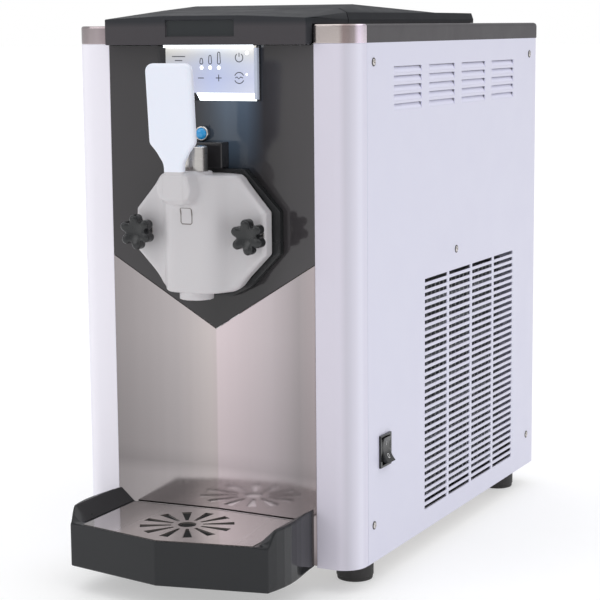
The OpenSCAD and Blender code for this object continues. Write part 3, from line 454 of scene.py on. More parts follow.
def outline(px, py, pts):
    """Distance to a polygon in its plane."""
    pts = [np.array(p, float) for p in pts]
    best = np.full(px.shape, 1e9)
    sign = np.ones(px.shape)
    for i, a in enumerate(pts):
        b = pts[i - 1]
        ex, ey = b - a
        wx, wy = px - a[0], py - a[1]
        t = np.clip((wx * ex + wy * ey) / (ex * ex + ey * ey), 0, 1)
        dx, dy = wx - ex * t, wy - ey * t
        best = np.minimum(best, dx * dx + dy * dy)
        c1, c2, c3 = py >= a[1], py < b[1], ex * wy > ey * wx
        flip = (c1 & c2 & c3) | (~c1 & ~c2 & ~c3)
        sign = np.where(flip, -sign, sign)
    return sign * np.sqrt(best)


def shrink(pts, r):
    """A convex outline with every side moved in by r."""
    pts = [np.array(p, float) for p in pts]
    area = sum(pts[i - 1][0] * p[1] - p[0] * pts[i - 1][1] for i, p in enumerate(pts))
    lines = []
    for i, p in enumerate(pts):
        q = pts[(i + 1) % len(pts)]
        d = (q - p) / np.linalg.norm(q - p)
        n = np.array([-d[1], d[0]]) * (1 if area > 0 else -1)
        lines.append((p + n * r, d))
    out = []
    for i, (p, d) in enumerate(lines):
        q, e = lines[i - 1]
        s = ((q - p)[0] * e[1] - (q - p)[1] * e[0]) / (d[0] * e[1] - d[1] * e[0])
        out.append(p + d * s)
    return out


def slab(flat, w, lo, hi, r):
    """Pushes a flat distance from lo to hi along w, with edges rounded to r."""
    a = flat + r
    b = np.abs(w - (lo + hi) / 2) - (hi - lo) / 2 + r
    return np.minimum(np.maximum(a, b), 0) + np.hypot(np.maximum(a, 0), np.maximum(b, 0)) - r


def brick(x, y, z, lo, hi, r):
    """A box with its edges rounded to r."""
    q = [np.abs(v - (l + h) / 2) - (h - l) / 2 + r for v, l, h in zip((x, y, z), lo, hi)]
    outside = np.sqrt(sum(np.maximum(v, 0) ** 2 for v in q))
    return np.minimum(np.maximum(np.maximum(q[0], q[1]), q[2]), 0) + outside - r


def rod(u, v, w, r, lo, hi, edge):
    """A round bar of radius r from lo to hi along w."""
    return slab(np.hypot(u, v) - r, w, lo, hi, edge)


def skin(name, field, lo, hi, cell, angle=50):
    cell = cell[0]
    lo, hi = np.array(lo, float) - 1.5 * cell, np.array(hi, float) + 1.5 * cell
    count = np.ceil((hi - lo) / cell).astype(int) + 1
    axes = [lo[i] + cell * np.arange(count[i]) for i in range(3)]
    x, y, z = np.meshgrid(*axes, indexing="ij")
    d = field(x, y, z)
    corners = {}
    for i in (0, 1):
        for j in (0, 1):
            for k in (0, 1):
                corners[i, j, k] = d[i:count[0] - 1 + i, j:count[1] - 1 + j, k:count[2] - 1 + k]
    inside = sum((c < 0).astype(int) for c in corners.values())
    cells = np.argwhere((inside > 0) & (inside < 8))
    index = -np.ones(inside.shape, int)
    index[tuple(cells.T)] = np.arange(len(cells))
    at = tuple(cells.T)
    total, hits = np.zeros((len(cells), 3)), np.zeros(len(cells))
    for a in corners:
        for step in range(3):
            if a[step]:
                continue
            b = tuple(v + (1 if n == step else 0) for n, v in enumerate(a))
            da, db = corners[a][at], corners[b][at]
            cut = (da < 0) != (db < 0)
            t = np.where(cut, da / np.where(cut, da - db, 1), 0)
            p = np.array(a, float) + t[:, None] * (np.arange(3) == step)
            total += p * cut[:, None]
            hits += cut
    p = lo + cell * (cells + total / hits[:, None])
    start, h = p.copy(), cell * 0.05
    for _ in range(4):
        v = field(*p.T)
        g = np.stack([(field(*(p + h * e).T) - field(*(p - h * e).T)) / (2 * h)
                      for e in np.eye(3)], axis=1)
        step = -v[:, None] * g / np.maximum((g * g).sum(1), 0.2)[:, None]
        p = start + np.clip(p + step - start, -0.6 * cell, 0.6 * cell)
    faces = []
    for axis in range(3):
        u, w = (axis + 1) % 3, (axis + 2) % 3
        one = [slice(1, -1)] * 3
        one[axis] = slice(0, -1)
        two = list(one)
        two[axis] = slice(1, None)
        a, b = d[tuple(one)] < 0, d[tuple(two)] < 0
        base = [1, 1, 1]
        base[axis] = 0
        spots = np.argwhere(a != b)
        spots = spots + np.array(base)
        goes_out = a[a != b]
        quad = []
        for du, dw in ((0, 0), (-1, 0), (-1, -1), (0, -1)):
            c = spots.copy()
            c[:, u] += du
            c[:, w] += dw
            quad.append(index[tuple(c.T)])
        quad = np.stack(quad, axis=1)
        quad[~goes_out] = quad[~goes_out][:, ::-1]
        faces.append(quad)
    faces = np.concatenate(faces)
    mesh = bpy.data.meshes.new(name)
    mesh.from_pydata((p * MM + np.array([0, FRONT, 0])).tolist(), [], faces.tolist())
    mesh.update()
    smooth(mesh, angle)
    return bpy.data.objects.new(name, mesh)


def surface_y(field, x, z, near, far):
    """Depth at which a line along Y first meets a shape, going in from the front."""
    y = np.linspace(near, far, 200)
    d = field(np.full(200, float(x)), y, np.full(200, float(z)))
    i = int(np.argmax(d < 0))
    return y[i - 1] + (y[i] - y[i - 1]) * d[i - 1] / (d[i - 1] - d[i])


def strokes(name, paths, normal, width, proud):
    """Ribbons that lie on a surface. paths lists (points, closed)."""
    normal = Vector(normal)
    sunk = 0.3
    verts, faces = [], []
    for path, closed in paths:
        pts = [Vector(p) for p in path]
        first = len(verts)
        for i, p in enumerate(pts):
            before = pts[i - 1] if i or closed else p
            after = pts[(i + 1) % len(pts)] if i < len(pts) - 1 or closed else p
            side = (after - before).cross(normal).normalized() * (width / 2)
            for a, b in ((-1, -sunk), (1, -sunk), (0.85, proud), (-0.85, proud)):
                verts.append(p + side * a + normal * b)
        count = len(pts)
        for i in range(count if closed else count - 1):
            j = (i + 1) % count
            for k in range(4):
                m = (k + 1) % 4
                faces.append((first + 4 * i + k, first + 4 * i + m, first + 4 * j + m,
                              first + 4 * j + k))
        if not closed:
            faces.append(tuple(first + k for k in (3, 2, 1, 0)))
            faces.append(tuple(first + 4 * (count - 1) + k for k in range(4)))
    return mesh_object(name, verts, faces)


def arc(cx, cz, r, start, end, steps, y):
    """Points of an arc seen from the front. Angles in degrees from +X towards +Z."""
    return [(cx + r * math.cos(math.radians(start + (end - start) * i / steps)), y,
             cz + r * math.sin(math.radians(start + (end - start) * i / steps)))
            for i in range(steps + 1)]


def islands(node):
    """Lowest and highest corner of each separate solid of a CAD node, in millimetres."""
    bm = bmesh.new()
    bm.from_mesh(NODES[node].data)
    bmesh.ops.remove_doubles(bm, verts=bm.verts, dist=WELD)
    left, boxes = set(bm.verts), []
    while left:
        stack, group = [left.pop()], []
        while stack:
            v = stack.pop()
            group.append(v.co.copy())
            for e in v.link_edges:
                w = e.other_vert(v)
                if w in left:
                    left.remove(w)
                    stack.append(w)
        lo = Vector(min(c[i] for c in group) for i in range(3))
        hi = Vector(max(c[i] for c in group) for i in range(3))
        boxes.append([to_local(lo), to_local(hi)])
    bm.free()
    return sorted(boxes, key=lambda b: tuple(round(c, 2) for c in b[0]))


def join(name, parts, angle=35):
    """One mesh out of several objects' meshes, each moved by its own matrix."""
    bm = bmesh.new()
    for obj, matrix in parts:
        mesh = obj.data.copy()
        mesh.transform(matrix)
        bm.from_mesh(mesh)
        bpy.data.meshes.remove(mesh)
    return finished(bm, name, angle)


# ---------------------------------------------------------------- cabinet and other plain shapes

# CAD node, bevel width and bevel segments.
for node_name, width, steps in (
        ("base_pan", 0.25, 1), ("post_left", 0.6, 3), ("post_right", 0.6, 3),
        ("front_hood", 1.3, 3), ("tank_lid", 1.2, 3), ("front_panel", 0.25, 2),
        ("backsplash", 0.2, 1), ("display_bezel", 0.35, 2), ("display_panel", 0.4, 3),
        ("display_light", 0.35, 2), ("hood_light", 0.3, 2), ("guide_block", 1.2, 3),
        ("switch_bezel", 0.5, 2), ("door_studs", 0.5, 2), ("lever_pin", 0.6, 2),
        ("door_flange", 1.3, 3), ("knob_washers", 0.25, 2), ("rear_panel", 0.2, 1),
        ("piston", 0.35, 2), ("hopper_tank", 0.3, 2),
        ("drip_plate", 0.25, 2), ("tray_hooks", 0.3, 2)):
    refine(node_name, width, steps)

# The cap and trims are rounded most along their outer top edges.
CAP_HI = local_box("top_cap")[1]
CAP_RIM = CAP_HI - Vector((0.1, 0.1, 0.1))
refine("top_cap", 0.8, 5, wide=(3.6, lambda v: v.z > CAP_RIM.z and (
    abs(v.x) > CAP_RIM.x or v.y > CAP_RIM.y)))
for node_name in ("trim_left", "trim_right"):
    refine(node_name, 0.6, 4, wide=(2.0, lambda v: v.z > CAP_RIM.z))

RECESS_HALF, RECESS_Y = 36, (-14, -12.9)    # bottom of the grip recess in the hood's face
# Painted shade: the floor of the grip recess gets a darker black.
paint(bpy.data.objects["front_hood_skin"], hood_pocket_painted_shade, lambda at, normal: (
    abs(normal.y) > 0.9 and RECESS_Y[0] < at.y < RECESS_Y[1] and abs(at.x) < RECESS_HALF))
# Painted shade: the walls of the drip plate's slots are dark.
paint(bpy.data.objects["drip_plate_skin"],
      material("slot_wall_painted_shade", (0.07, 0.06, 0.055), 0.5, metal=0.4),
      lambda at, normal: abs(normal.z) < 0.5)

# ---------------------------------------------------------------- door, lever and knobs

KNOB_LO, KNOB_HI = local_box("knob_right")
KNOB_X, AXIS_Z = (KNOB_LO.x + KNOB_HI.x) / 2, (KNOB_LO.z + KNOB_HI.z) / 2
PISTON_LO, PISTON_HI = local_box("piston")
VALVE_Y = (PISTON_LO.y + PISTON_HI.y) / 2
CLEARANCE = 0.08    # round the piston and round the pin
BORE_R = (PISTON_HI.x - PISTON_LO.x) / 2 + CLEARANCE
PIN_LO, PIN_HI = local_box("lever_pin")
PIVOT = ((PIN_LO.y + PIN_HI.y) / 2, (PIN_LO.z + PIN_HI.z) / 2)
PIN_R = (PIN_HI.y - PIN_LO.y) / 2
DOOR_LO, DOOR_HI = local_box("door")
# Corners of the plate, from the middle of the barrel, and its faces.
DOOR_OUTLINE = [(37, 54), (66.5, 20), (66.5, -18), (38, -47), (22, -53),
                (-22, -53), (-38, -47), (-66.5, -18), (-66.5, 20), (-37, 54)]
PLATE_FRONT, PLATE_BACK, CORNER_R = -22, -5, 4
COLUMN_HALF, COLUMN_FRONT, COLUMN_LOW, COLUMN_TOP = 27, -45, 275.6, 381.6
SPOUT_R, COLLAR_R, COLLAR_TOP = 15.5, 15.7, 384.4
# Side view of the nose that holds the lever's pin, as (depth, height).
NOSE = [(-69, 362), (-69, 383), (-66, 386), (-46, 386), (-30, 379), (-30, 349), (-44, 354.5),
        (-63, 357)]
NOSE_HALF, NOSE_TOP = 17, 386
BOSS_R, BOSS_BACK = 48.8, 7         # round boss that closes the barrel, and its seal groove
GROOVE_MID, GROOVE_DEPTH, GROOVE_Y, GROOVE_HALF = 48.6, 2, 0.9, 2.1
FINGER_HALF, FINGER_LOW = 5.4, 359  # opening between the lever's slot and the piston's bore
STUD_HOLE_R = 4.35
OUTLET_DROP, OUTLET_R = 21, 7       # way from the barrel down to the bore, below the axis
DASHER_HOLE_R = 9


def door_shape(x, y, z):
    h = z - AXIS_Z
    plate = slab(outline(x, h, shrink(DOOR_OUTLINE, CORNER_R)) - CORNER_R, y, PLATE_FRONT,
                 PLATE_BACK, 4.5)
    column = brick(x, y, z, (-COLUMN_HALF, COLUMN_FRONT, 255), (COLUMN_HALF, -8, 400), 15)
    body = smin(plate, column, 24)
    body = smax(body, COLUMN_LOW - z, 3)
    body = smax(body, z - COLUMN_TOP, 5)
    body = smin(body, rod(x, y - VALVE_Y, z, SPOUT_R, DOOR_LO.z, 305, 1.1), 0.8)
    nose = slab(outline(y, z, NOSE), x, -NOSE_HALF, NOSE_HALF, 3.0)
    # The nose narrows towards its top and its bottom.
    nose = smax(nose, ((np.abs(x) - NOSE_HALF) * 11 + (z - 376) * 6.3) / 12.68, 4)
    nose = smax(nose, ((np.abs(x) - NOSE_HALF) * 10 + (365 - z) * 7) / 12.2, 5)
    body = smin(body, nose, 8)
    body = np.maximum(body, z - NOSE_TOP)
    body = smin(body, rod(x, y - VALVE_Y, z, COLLAR_R, 360, COLLAR_TOP, 1.0), 2)
    body = np.minimum(body, rod(x, h, y, BOSS_R, -10, BOSS_BACK, 0.8))
    body = smax(body, BORE_R - np.hypot(x, y - VALVE_Y), 0.9)
    body = smax(body, -brick(x, y, z, (-FINGER_HALF, -36, FINGER_LOW),
                             (FINGER_HALF, VALVE_Y, 420), 0.4), 0.5)
    body = np.maximum(body, STUD_HOLE_R - np.hypot(np.abs(x) - KNOB_X, h))
    body = np.maximum(body, -rod(x, h + OUTLET_DROP, y, OUTLET_R, VALVE_Y, 12, 0.3))
    body = np.maximum(body, -rod(x, h, y, DASHER_HOLE_R, -3, 12, 0.3))
    groove = np.maximum(np.abs(np.hypot(x, h) - GROOVE_MID) - GROOVE_DEPTH,
                        np.abs(y - GROOVE_Y) - GROOVE_HALF)
    return np.maximum(body, -groove)


LEAN = math.radians(4.5)
SLOT_HALF = 10.06
HUB_HALF, HUB_R = SLOT_HALF - 0.06, 13.4
ROOT_TOP = 386.2                    # below this the lever is made of the door's plastic


def lever_shape(x, y, z):
    """Paddle and neck, leaning forward, and the finger that lifts the piston."""
    dy, dz = y - PIVOT[0], z - PIVOT[1]
    u = dy * math.cos(LEAN) + dz * math.sin(LEAN)
    w = dz * math.cos(LEAN) - dy * math.sin(LEAN)
    paddle = outline(x, w, shrink([(-22.7, 41), (-11, 28), (11, 28), (22.7, 41),
                                   (22.7, 111), (-22.7, 111)], 7)) - 7
    neck = outline(x, w, [(-9.6, -4), (9.6, -4), (9.6, 45), (-9.6, 45)])
    blade = slab(smin(paddle, neck, 9), u, -13.2, -4.5, 3.1)
    finger = brick(x, dy, dz, (-4, 0, -3), (4, 25.5, 3), 0.8)
    tip = rod(dy - 25.5, dz, x, 4.5, -4, 4, 0.8)
    return np.minimum(blade, smin(finger, tip, 2))


def prism(name, profile, half):
    """A side view pushed to both sides of the middle, with sharp edges."""
    n = len(profile)
    verts = [(x, y, z) for x in (-half, half) for y, z in profile]
    faces = [tuple(range(n)), tuple(range(2 * n - 1, n - 1, -1))]
    faces += [(i, i + n, (i + 1) % n + n, (i + 1) % n) for i in range(n)]
    obj = mesh_object(name, verts, faces)
    bm = bmesh.new()
    bm.from_mesh(obj.data)
    bmesh.ops.recalc_face_normals(bm, faces=bm.faces)
    bm.to_mesh(obj.data)
    bm.free()
    return obj


def carve(obj, tools):
    """Applies exact cuts, overlaps and joins with other meshes. tools lists (how, object)."""
    for thing in [obj] + [tool for _, tool in tools]:
        SCENE.collection.objects.link(thing)
    for how, tool in tools:
        step = obj.modifiers.new(how, "BOOLEAN")
        step.operation, step.object, step.solver = how, tool, "EXACT"
    bpy.context.view_layer.update()
    deps = bpy.context.evaluated_depsgraph_get()
    mesh = bpy.data.meshes.new_from_object(obj.evaluated_get(deps))
    mesh.name = obj.name
    obj.modifiers.clear()
    obj.data = mesh
    SCENE.collection.objects.unlink(obj)
    for _, tool in tools:
        bpy.data.objects.remove(tool)
    smooth(mesh, 50)
    return obj


def pivot_bar(name, r, x0, x1):
    return lathe(name, [(0, x0), (r, x0), (r, x1), (0, x1)], (0, *PIVOT), "x")


def hub_side(r, first, top=None):
    """Side view of the lever's hub and all in front of it: an arc round the pin from first
    degrees to straight below it, closed through points well in front of the door."""
    hub = [(y, z) for y, _, z in arc(*PIVOT, r, first, -90, (first + 90) // 10, 0)]
    return hub + [(-58, 330), (-95, 330), (-95, 400), (top or hub[0][0], 400)]


# The lever's root is cut from a copy of the door's own moulding.
moulding = skin("door_moulding", door_shape, (DOOR_LO.x, -69, DOOR_LO.z),
                (DOOR_HI.x, 7, 386.5), (0.9, 1.6))
root = carve(bpy.data.objects.new("lever_root", moulding.data.copy()), [
    ("INTERSECT", prism("root_outline", hub_side(HUB_R, 60, -52), HUB_HALF))])
place(carve(moulding, [
    ("DIFFERENCE", prism("lever_slot", hub_side(HUB_R + 0.3, 10), SLOT_HALF)),
    ("DIFFERENCE", pivot_bar("pin_bore", PIN_R, PIN_LO.x, PIN_HI.x))]), "door")
LEVER_LO, LEVER_HI = local_box("lever")
lever = skin("lever_handle", lever_shape, (LEVER_LO.x, LEVER_LO.y - 1, LEVER_LO.z - 2), LEVER_HI,
             (0.7, 1.2))
lever = carve(lever, [("UNION", root),
                      ("DIFFERENCE", pivot_bar("pin_way", PIN_R + CLEARANCE, -30, 30))])
lever.data.materials.append(lever_white)
paint(lever, MATS["white_plastic"], lambda at, normal: at.z < ROOT_TOP)
place(lever, "lever")

LOBES, LOBE_TURN = 6, math.radians(36)
LOBE_R, LOBE_AT, CORE_R = 4.4, 11.6, 9.4
HEAD_BACK, NECK_R = -29, 8.5
STUD_R, STUD_FRONT = 4.08, -38.5    # the stud's hole in the back of the knob


def star_knob(name, cx, node):
    def shape(x, y, z):
        u, w = x - cx, z - AXIS_Z
        r = np.hypot(u, w)
        half_step = math.pi / LOBES
        a = (np.arctan2(w, u) - LOBE_TURN + half_step) % (2 * half_step) - half_step
        lobe = np.hypot(r * np.cos(a) - LOBE_AT, r * np.sin(a)) - LOBE_R
        star = smin(r - CORE_R, lobe, 4.0)
        head = slab(star, y, KNOB_LO.y, HEAD_BACK, 3.0)
        dish = np.sqrt(u ** 2 + w ** 2 + (y - KNOB_LO.y + 16) ** 2) - 18.4
        head = smax(head, -dish, 1.6)
        body = smin(head, rod(u, w, y, NECK_R, -34, KNOB_HI.y, 0.8), 3)
        return np.maximum(body, -rod(u, w, y, STUD_R, STUD_FRONT, 0, 0.1))
    lo, hi = local_box(node)
    room = Vector((1, 0.5, 1))
    place(skin(name, shape, lo - room, hi + room, (0.6, 1.0)), node)


star_knob("knob_left_star", -KNOB_X, "knob_left")
star_knob("knob_right_star", KNOB_X, "knob_right")

# ---------------------------------------------------------------- drip tray

TRAY_LO, TRAY_HI = local_box("drip_tray")
PLATE_LO, PLATE_HI = local_box("drip_plate")


def node_outline(node, height):
    """Corners of a CAD node that lie at one height, in order round their middle."""
    spots = {(round(v.co.x / MM, 2), round((v.co.y - FRONT) / MM, 2))
             for v in NODES[node].data.vertices if abs(v.co.z / MM - height) < 0.2}
    cx = sum(p[0] for p in spots) / len(spots)
    cy = sum(p[1] for p in spots) / len(spots)
    return sorted(spots, key=lambda p: math.atan2(p[1] - cy, p[0] - cx))


TRAY_PLAN = node_outline("drip_tray", TRAY_LO.z)
PLATE_W, PLATE_TOP = PLATE_HI.x, PLATE_HI.z
SIDE_BACK, SIDE_FRONT = -3, -91.8   # ends of the plate's straight sides
PLATE_PLAN = [(-PLATE_W, SIDE_BACK), (0, PLATE_HI.y), (PLATE_W, SIDE_BACK),
              (PLATE_W, SIDE_FRONT), (0, PLATE_LO.y), (-PLATE_W, SIDE_FRONT)]
WALL, FLOOR_T, CHEEK_W = 4.5, 2.5, 14.5
HOOKS = [((lo + hi) / 2).x for lo, hi in islands("tray_hooks") if hi.x - lo.x > 8]


def tray_shape(x, y, z):
    wide = np.abs(x)
    plan = outline(x, y, TRAY_PLAN)
    # The cheeks rise from the plate's sides outwards, and sink to the rim at their front end.
    rise = np.clip((wide - PLATE_W - 1) / CHEEK_W, 0, 1)
    front_end = np.clip((y + 92) / 13, 0, 1)
    front_end = front_end * front_end * (3 - 2 * front_end)
    top = PLATE_TOP - 0.3 + (TRAY_HI.z - PLATE_TOP + 0.3) * rise * front_end
    lean = np.hypot(1, np.where((rise > 0) & (rise < 1), 0.94, 0))
    body = smax(plan, (z - top) / lean, 0.7 + 1.6 * rise)
    body = smax(body, TRAY_LO.z - z, 1.6)
    inner = np.maximum(plan + WALL, wide - PLATE_W + 4)
    for hx in HOOKS:
        inner = np.maximum(inner, -np.maximum(np.abs(x - hx) - 10, -11 - y))
    body = smax(body, -np.maximum(inner, TRAY_LO.z + FLOOR_T - z), 0.6)
    pocket = outline(x, y, PLATE_PLAN) - 0.4
    body = np.maximum(body, -np.maximum(pocket, PLATE_LO.z - 0.2 - z))
    for hx in HOOKS:
        body = np.maximum(body, -brick(x, y, z, (hx - 7, -8, 40), (hx + 7, 10, 58), 0.2))
    return body


tray = place(skin("tray_moulding", tray_shape, TRAY_LO, TRAY_HI, (0.95, 1.3), 45),
             "drip_tray")
tray.visible_glossy = False     # as in the photograph, the backsplash doesn't mirror the tray
# Painted light: the cheeks' inward faces above the plate get the lighter black.
CHEEK_X, CHEEK_Z = 87, 65.2
paint(tray, tray_cheek_painted_light, lambda at, normal: at.z > CHEEK_Z and abs(at.x) > CHEEK_X and (
    -normal.x if at.x > 0 else normal.x) > 0.25)

# ---------------------------------------------------------------- details on the door and front

WIN_X, WIN_LOW, WIN_TOP = 5.6, 338.2, 352.8     # outline cut into the column of the door
window = [(-WIN_X, 351.6), (-WIN_X, 346), (-WIN_X, 340), (-WIN_X + 1.2, WIN_LOW), (0, WIN_LOW),
          (WIN_X - 1.2, WIN_LOW), (WIN_X, 339.5), (WIN_X, 345), (WIN_X, 351.6),
          (WIN_X - 1, WIN_TOP), (0, WIN_TOP), (-WIN_X + 1, WIN_TOP)]
line = [(x, surface_y(door_shape, x, z, -60, -30), z) for x, z in window]
extra(strokes("door_window_line", [(line, True)], (0, -1, 0), 1.0, 0.1), "door",
      "white_plastic", groove_brown)

BUTTON_LO, BUTTON_HI = local_box("push_button")
RING_LO, RING_HI = local_box("button_ring")
button_at = ((BUTTON_LO.x + BUTTON_HI.x) / 2, 0, (BUTTON_LO.z + BUTTON_HI.z) / 2)
cap_profile = [(r, BUTTON_LO.y + d) for r, d in (
    (0, 0), (1.6, 0.08), (3.2, 0.35), (4.4, 0.85), (5.0, 1.7), (5.02, 2.4))]
cap_profile += [(5.02, BUTTON_HI.y - 0.3), (4.7, BUTTON_HI.y), (0, BUTTON_HI.y)]
place(lathe("push_button_cap", cap_profile, button_at, "y", 64, 50), "push_button")
ring_profile = [(r, RING_LO.y + d) for r, d in (
    (5.1, 0.5), (5.35, 0.1), (5.9, 0), (6.5, 0.25), (6.95, 1.0))]
ring_profile += [(7.0, 5.5), (6.0, 5.5), (6.0, RING_HI.y), (5.1, 22)]
place(lathe("button_ring_turned", ring_profile, button_at, "y", 64, 50), "button_ring")

feet = []
for lo, hi in islands("feet"):
    r, h = (hi.x - lo.x) / 2, hi.z
    feet.append((lathe("foot", [(3.4, 8), (7, 8), (7, 0.8), (7.8, 0), (r - 2.2, 0), (r - 1.0, 0.5),
                                (r - 0.6, 2.4), (r - 0.9, 3.4), (r, 4.4), (r, h - 1.4),
                                (r - 0.5, h - 0.4), (r - 1.4, h), (3.4, h)],
                       ((lo.x + hi.x) / 2, (lo.y + hi.y) / 2, 0), "z", 64, 40), Matrix()))
place(join("rubber_feet", feet), "feet")

HEAD_R = min((hi.z - lo.z) / 2 for lo, hi in islands("panel_screws"))
HEAD_T, DOME_R = 1.4, 7.6


def screw_shape(x, y, z):
    """Pan head with a cross recess, at the origin, looking along +X. Thread end at -X."""
    r = np.hypot(y, z)
    dome = np.sqrt((x + DOME_R - HEAD_T) ** 2 + r ** 2) - DOME_R
    head = smax(np.maximum(dome, -x), r - HEAD_R + 0.9, 0.6)
    deep = x - HEAD_T
    wings = [np.maximum(np.abs(a) - 0.42 - 0.1 * deep, np.abs(b) - 2.3 - 0.9 * deep)
             for a, b in ((y, z), (z, y))]
    recess = np.maximum(np.minimum(*wings), 0.45 - x)
    head = smax(head, -recess, 0.15)
    return np.minimum(head, rod(y, z, x, 1.98, -7.8, 0.3, 0.4))


screw = skin("screw", screw_shape, (-8, -HEAD_R, -HEAD_R), (HEAD_T, HEAD_R, HEAD_R),
             (0.4, 0.6), 40)
washer = lathe("washer", [(HEAD_R - 1.0, 0), (HEAD_R - 0.1, 0), (HEAD_R - 0.1, 0.35),
                          (HEAD_R - 0.4, 0.6), (HEAD_R - 1.0, 0.6)], (0, 0, 0), "x", 36, 40)
to_origin = Matrix.Translation((0, -FRONT, 0))
screws, washers = [], []
for index, (lo, hi) in enumerate(islands("panel_screws")):
    mid = (lo + hi) / 2
    if abs(mid.x) > abs(hi.x - lo.x) + 130:
        side = 1 if mid.x > 0 else -1
        seat = Vector((side * (max(abs(lo.x), abs(hi.x)) - HEAD_T), mid.y, mid.z))
        turn = Matrix.Rotation(0 if side > 0 else math.pi, 4, "Z")
    else:
        seat = Vector((mid.x, hi.y - HEAD_T, mid.z))
        turn = Matrix.Rotation(math.pi / 2, 4, "Z")
    spot = Matrix.Translation(to_row(seat)) @ turn
    spin = Matrix.Rotation(math.radians(20 + 37 * index), 4, "X")
    screws.append((screw, spot @ spin @ to_origin))
    washers.append((washer, spot @ to_origin))
place(join("pan_head_screws", screws, 40), "panel_screws")
extra(join("screw_washers", washers, 40), "panel_screws", "rubber")

# ---------------------------------------------------------------- rocker switch

ROCKER_LO, ROCKER_HI = local_box("switch_rocker")
ROCKER_AT = (local_box("side_panel_right")[1].x - 1, (ROCKER_LO.y + ROCKER_HI.y) / 2,
             (local_box("switch_bezel")[0].z + local_box("switch_bezel")[1].z) / 2)
TILT = math.radians(10)
FACE_OUT, FACE_RISE, HALF_RISE = 3.4, 3.9, 12   # hollow face: its middle, and its rise at 12 mm
ROCKER_HALF_W, ROCKER_HALF_H = 8.35, 9.6


def rocker_face(w):
    return FACE_OUT + FACE_RISE * (w / HALF_RISE) ** 2


def rocker_shape(x, y, z):
    dx, dz = x - ROCKER_AT[0], z - ROCKER_AT[2]
    u = dx * math.cos(TILT) + dz * math.sin(TILT)
    w = dz * math.cos(TILT) - dx * math.sin(TILT)
    slope = 2 * FACE_RISE * w / HALF_RISE ** 2
    face = (u - rocker_face(w)) / np.sqrt(1 + slope ** 2)
    end = np.abs(w) - ROCKER_HALF_H - 0.33 * (u + 0.5)
    body = smax(face, np.abs(y - ROCKER_AT[1]) - ROCKER_HALF_W, 0.9)
    body = smax(body, end * 0.95, 0.8)
    body = np.maximum(body, -2 - u)
    return np.maximum(body, 1.18 - np.hypot(dx, dz))


place(skin("rocker_skin", rocker_shape, ROCKER_LO, ROCKER_HI, (0.4, 0.6), 40),
      "switch_rocker")


def on_rocker(y, w):
    """A point on the rocker's face, across and along it from its middle."""
    u = rocker_face(w)
    return (ROCKER_AT[0] + u * math.cos(TILT) - w * math.sin(TILT), ROCKER_AT[1] + y,
            ROCKER_AT[2] + w * math.cos(TILT) + u * math.sin(TILT))


on_mark = [on_rocker(0, w) for w in (4.2, 5.4, 6.6, 7.8)]
off_mark = [on_rocker(1.7 * math.cos(a), -6 + 2.0 * math.sin(a))
            for a in (2 * math.pi * i / 20 for i in range(20))]
extra(strokes("rocker_marks", [(on_mark, False), (off_mark, True)], (1, 0, 0), 0.6, 0.12),
      "switch_rocker", "white_plastic", mark_white)

# ---------------------------------------------------------------- touch display

DISPLAY_LO, DISPLAY_HI = local_box("display_panel")
FACE_Y = DISPLAY_LO.y
PORTION_X, PORTION_LOW, PORTION_TOPS = (-5.7, 3.3, 12.3), 478.9, (484.4, 487.0, 489.9)
LAMP_R, LAMP_Z = 1.7, 475.7


def flat(*points):
    """An open stroke on the display's face."""
    return [(x, FACE_Y, z) for x, z in points], False


def drop(cx, low, high):
    """Outline of a tall rounded portion mark, narrower at its top."""
    half = 1.5
    body = arc(cx, low + half, half, 180, 360, 8, FACE_Y)
    body += arc(cx, high - half, half * 0.75, 0, 180, 8, FACE_Y)
    return body


# Three portions, minus, plus, stand-by, a wave in a circle and two lines for a caption.
icons = [(drop(x, PORTION_LOW, top), True) for x, top in zip(PORTION_X, PORTION_TOPS)]
icons += [flat((-9.4, 466.4), (-3.4, 466.4)), flat((8.9, 466.5), (14.9, 466.5)),
          flat((11.9, 463.5), (11.9, 466.1)), flat((11.9, 466.9), (11.9, 469.5)),
          (arc(32.9, 484.6, 3.8, 125, 415, 22, FACE_Y), False), flat((32.9, 485.4), (32.9, 488.9)),
          (arc(32.8, 466.6, 4.9, 25, 155, 12, FACE_Y), False),
          (arc(32.8, 466.6, 4.9, 205, 335, 12, FACE_Y), False),
          flat((28.8, 466.6), (30.6, 467.5), (32.4, 465.8), (34.4, 467.5), (36.6, 466.5)),
          flat((-36.2, 485.6), (-22.4, 485.6)), flat((-33.2, 482.0), (-25.4, 482.0))]
extra(strokes("touch_key_marks", icons, (0, -1, 0), 0.95, 0.05), "display_panel",
      "display_face", ink)

lamps = []
for x, z, r in ((-5.5, LAMP_Z, LAMP_R), (3.2, LAMP_Z, LAMP_R), (12.1, LAMP_Z, LAMP_R),
                (40.9, 488.8, LAMP_R), (40.4, 469.8, 1.0)):
    lamps.append((lathe("lamp", [(0, FACE_Y - 0.3), (r * 0.6, FACE_Y - 0.22),
                                 (r * 0.95, FACE_Y - 0.02), (r, FACE_Y + 0.3), (0, FACE_Y + 0.3)],
                        (x, 0, z), "y", 24, 50), Matrix()))
extra(join("display_lamps", lamps, 50), "display_panel", "light_strip", lamp_white)

# Painted light: a glowing strip along the display's right side.
strip = block("display_side_strip", (DISPLAY_HI.x + 0.15, FACE_Y + 0.4, DISPLAY_LO.z - 5.5),
              (local_box("display_bezel")[1].x - 0.3, 1.4, DISPLAY_HI.z - 1.8))
extra(add_bevel(strip, 0.4, 3), "display_panel", "display_face", edge_painted_glow)

# ---------------------------------------------------------------- mains inlet

INLET_LO, INLET_HI = local_box("power_inlet")
INLET_X, INLET_Z = (INLET_LO.x + INLET_HI.x) / 2, (INLET_LO.z + INLET_HI.z) / 2


